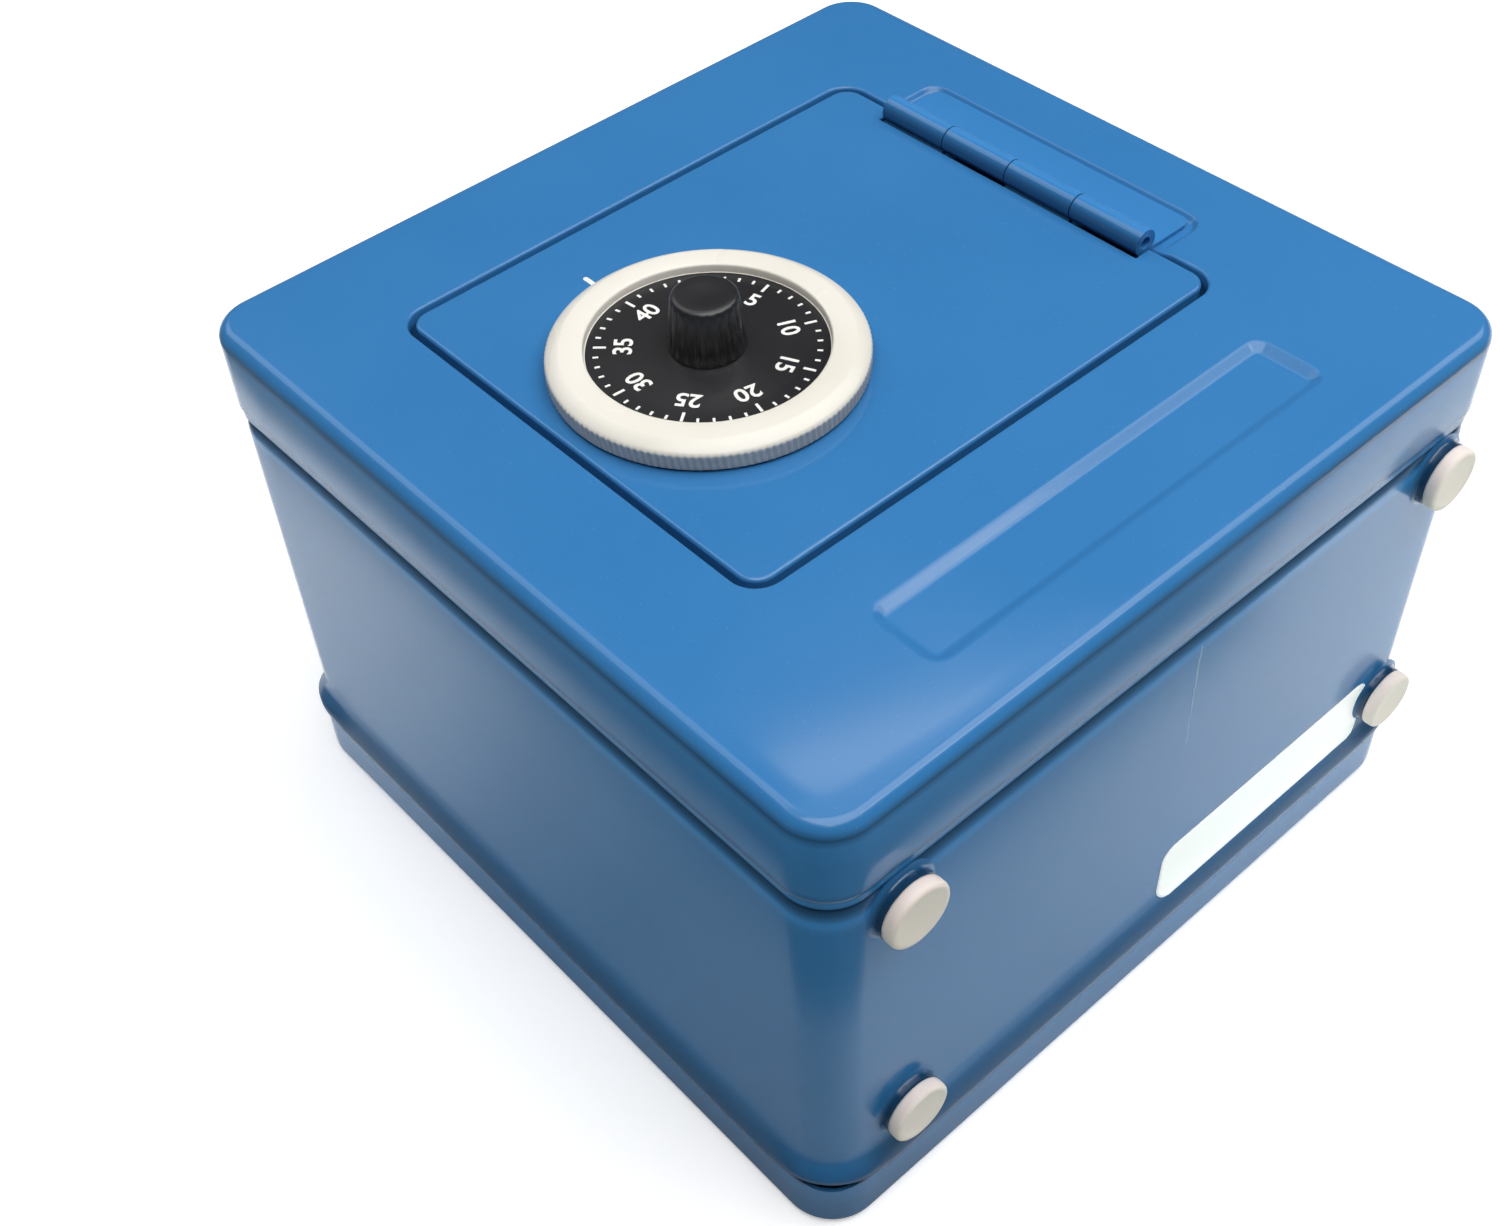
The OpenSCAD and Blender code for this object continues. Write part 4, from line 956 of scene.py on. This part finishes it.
# %% [markdown]
# ## Mark and label
# A short white line above the dial shows which number is set. It is a thin plate with
# rounded corners: a small section carried round a rounded rectangle, closed by one flat
# face on each side. The sticker on the underside is left bare. It reaches over the
# start of the flare, so it is a grid that bends there, and Solidify gives it its
# thickness.

# %% Index mark
mark_path = round_path(1.3, 6.4, 0.6, (DIAL[0], DIAL[1] + 43.2), arc=5, side=2)
grid = carried(mark_path, (-0.06, 0.0, 0.0, -0.06), (0.02, 0.0, -0.08, -0.1))
mark = piece("index_mark", [(grid, capped(grid))], white)
takes(mark, "door", "dial_ring_metal")

# %% Bare label
# Its front edge's depth, its size from front to rear and from side to side, its middle,
# its corner radius, and its height above the ground
LABEL_FROM, LABEL_DEEP, LABEL_WIDE, LABEL_MID = 110.2, 20.6, 84.5, 48.2
LABEL_CORNER, LABEL_Z, LABEL_THICK = 4.5, 5.9, 0.12
# glow=0.25 is painted light: the label shines a little by itself, so it looks whiter
glowing_paper = finish("bare_label", (0.9, 0.91, 0.92), (0.94, 0.94, 0.94), 0.3, 0.45,
    900.0, 0.000008, 0.00015, glow=0.25)
# Rows from front to rear, each as long as the rounded outline is there
down = np.linspace(0, LABEL_DEEP, 42)[:, None]
near_end = np.clip(LABEL_CORNER - np.minimum(down, LABEL_DEEP - down), 0, LABEL_CORNER)
half = LABEL_WIDE / 2 - LABEL_CORNER + np.sqrt(LABEL_CORNER**2 - near_end**2)
along = np.linspace(-1, 1, 60)[None] * half + LABEL_MID
# Past the flare's start the underside follows a circle of the flare's bend
bent = np.clip(LABEL_FROM + down - FLARE_FROM, 0, None)
high = LABEL_Z - (FLARE_BEND - np.sqrt(FLARE_BEND**2 - bent**2))
grid = np.stack(np.broadcast_arrays(along, FRONT + LABEL_FROM + down, high), -1)
label = piece("bare_label", [(grid, quads(grid, ring=False))], glowing_paper)
thickness = label.modifiers.new("thickness", "SOLIDIFY")
thickness.thickness, thickness.offset = LABEL_THICK * MM, 0
takes(label, "cabinet", "dial_ring_metal")
print("label box in mm:", [tuple(round(v * 1000, 1) for v in corner)
    for corner in (label.bound_box[0], label.bound_box[6])])
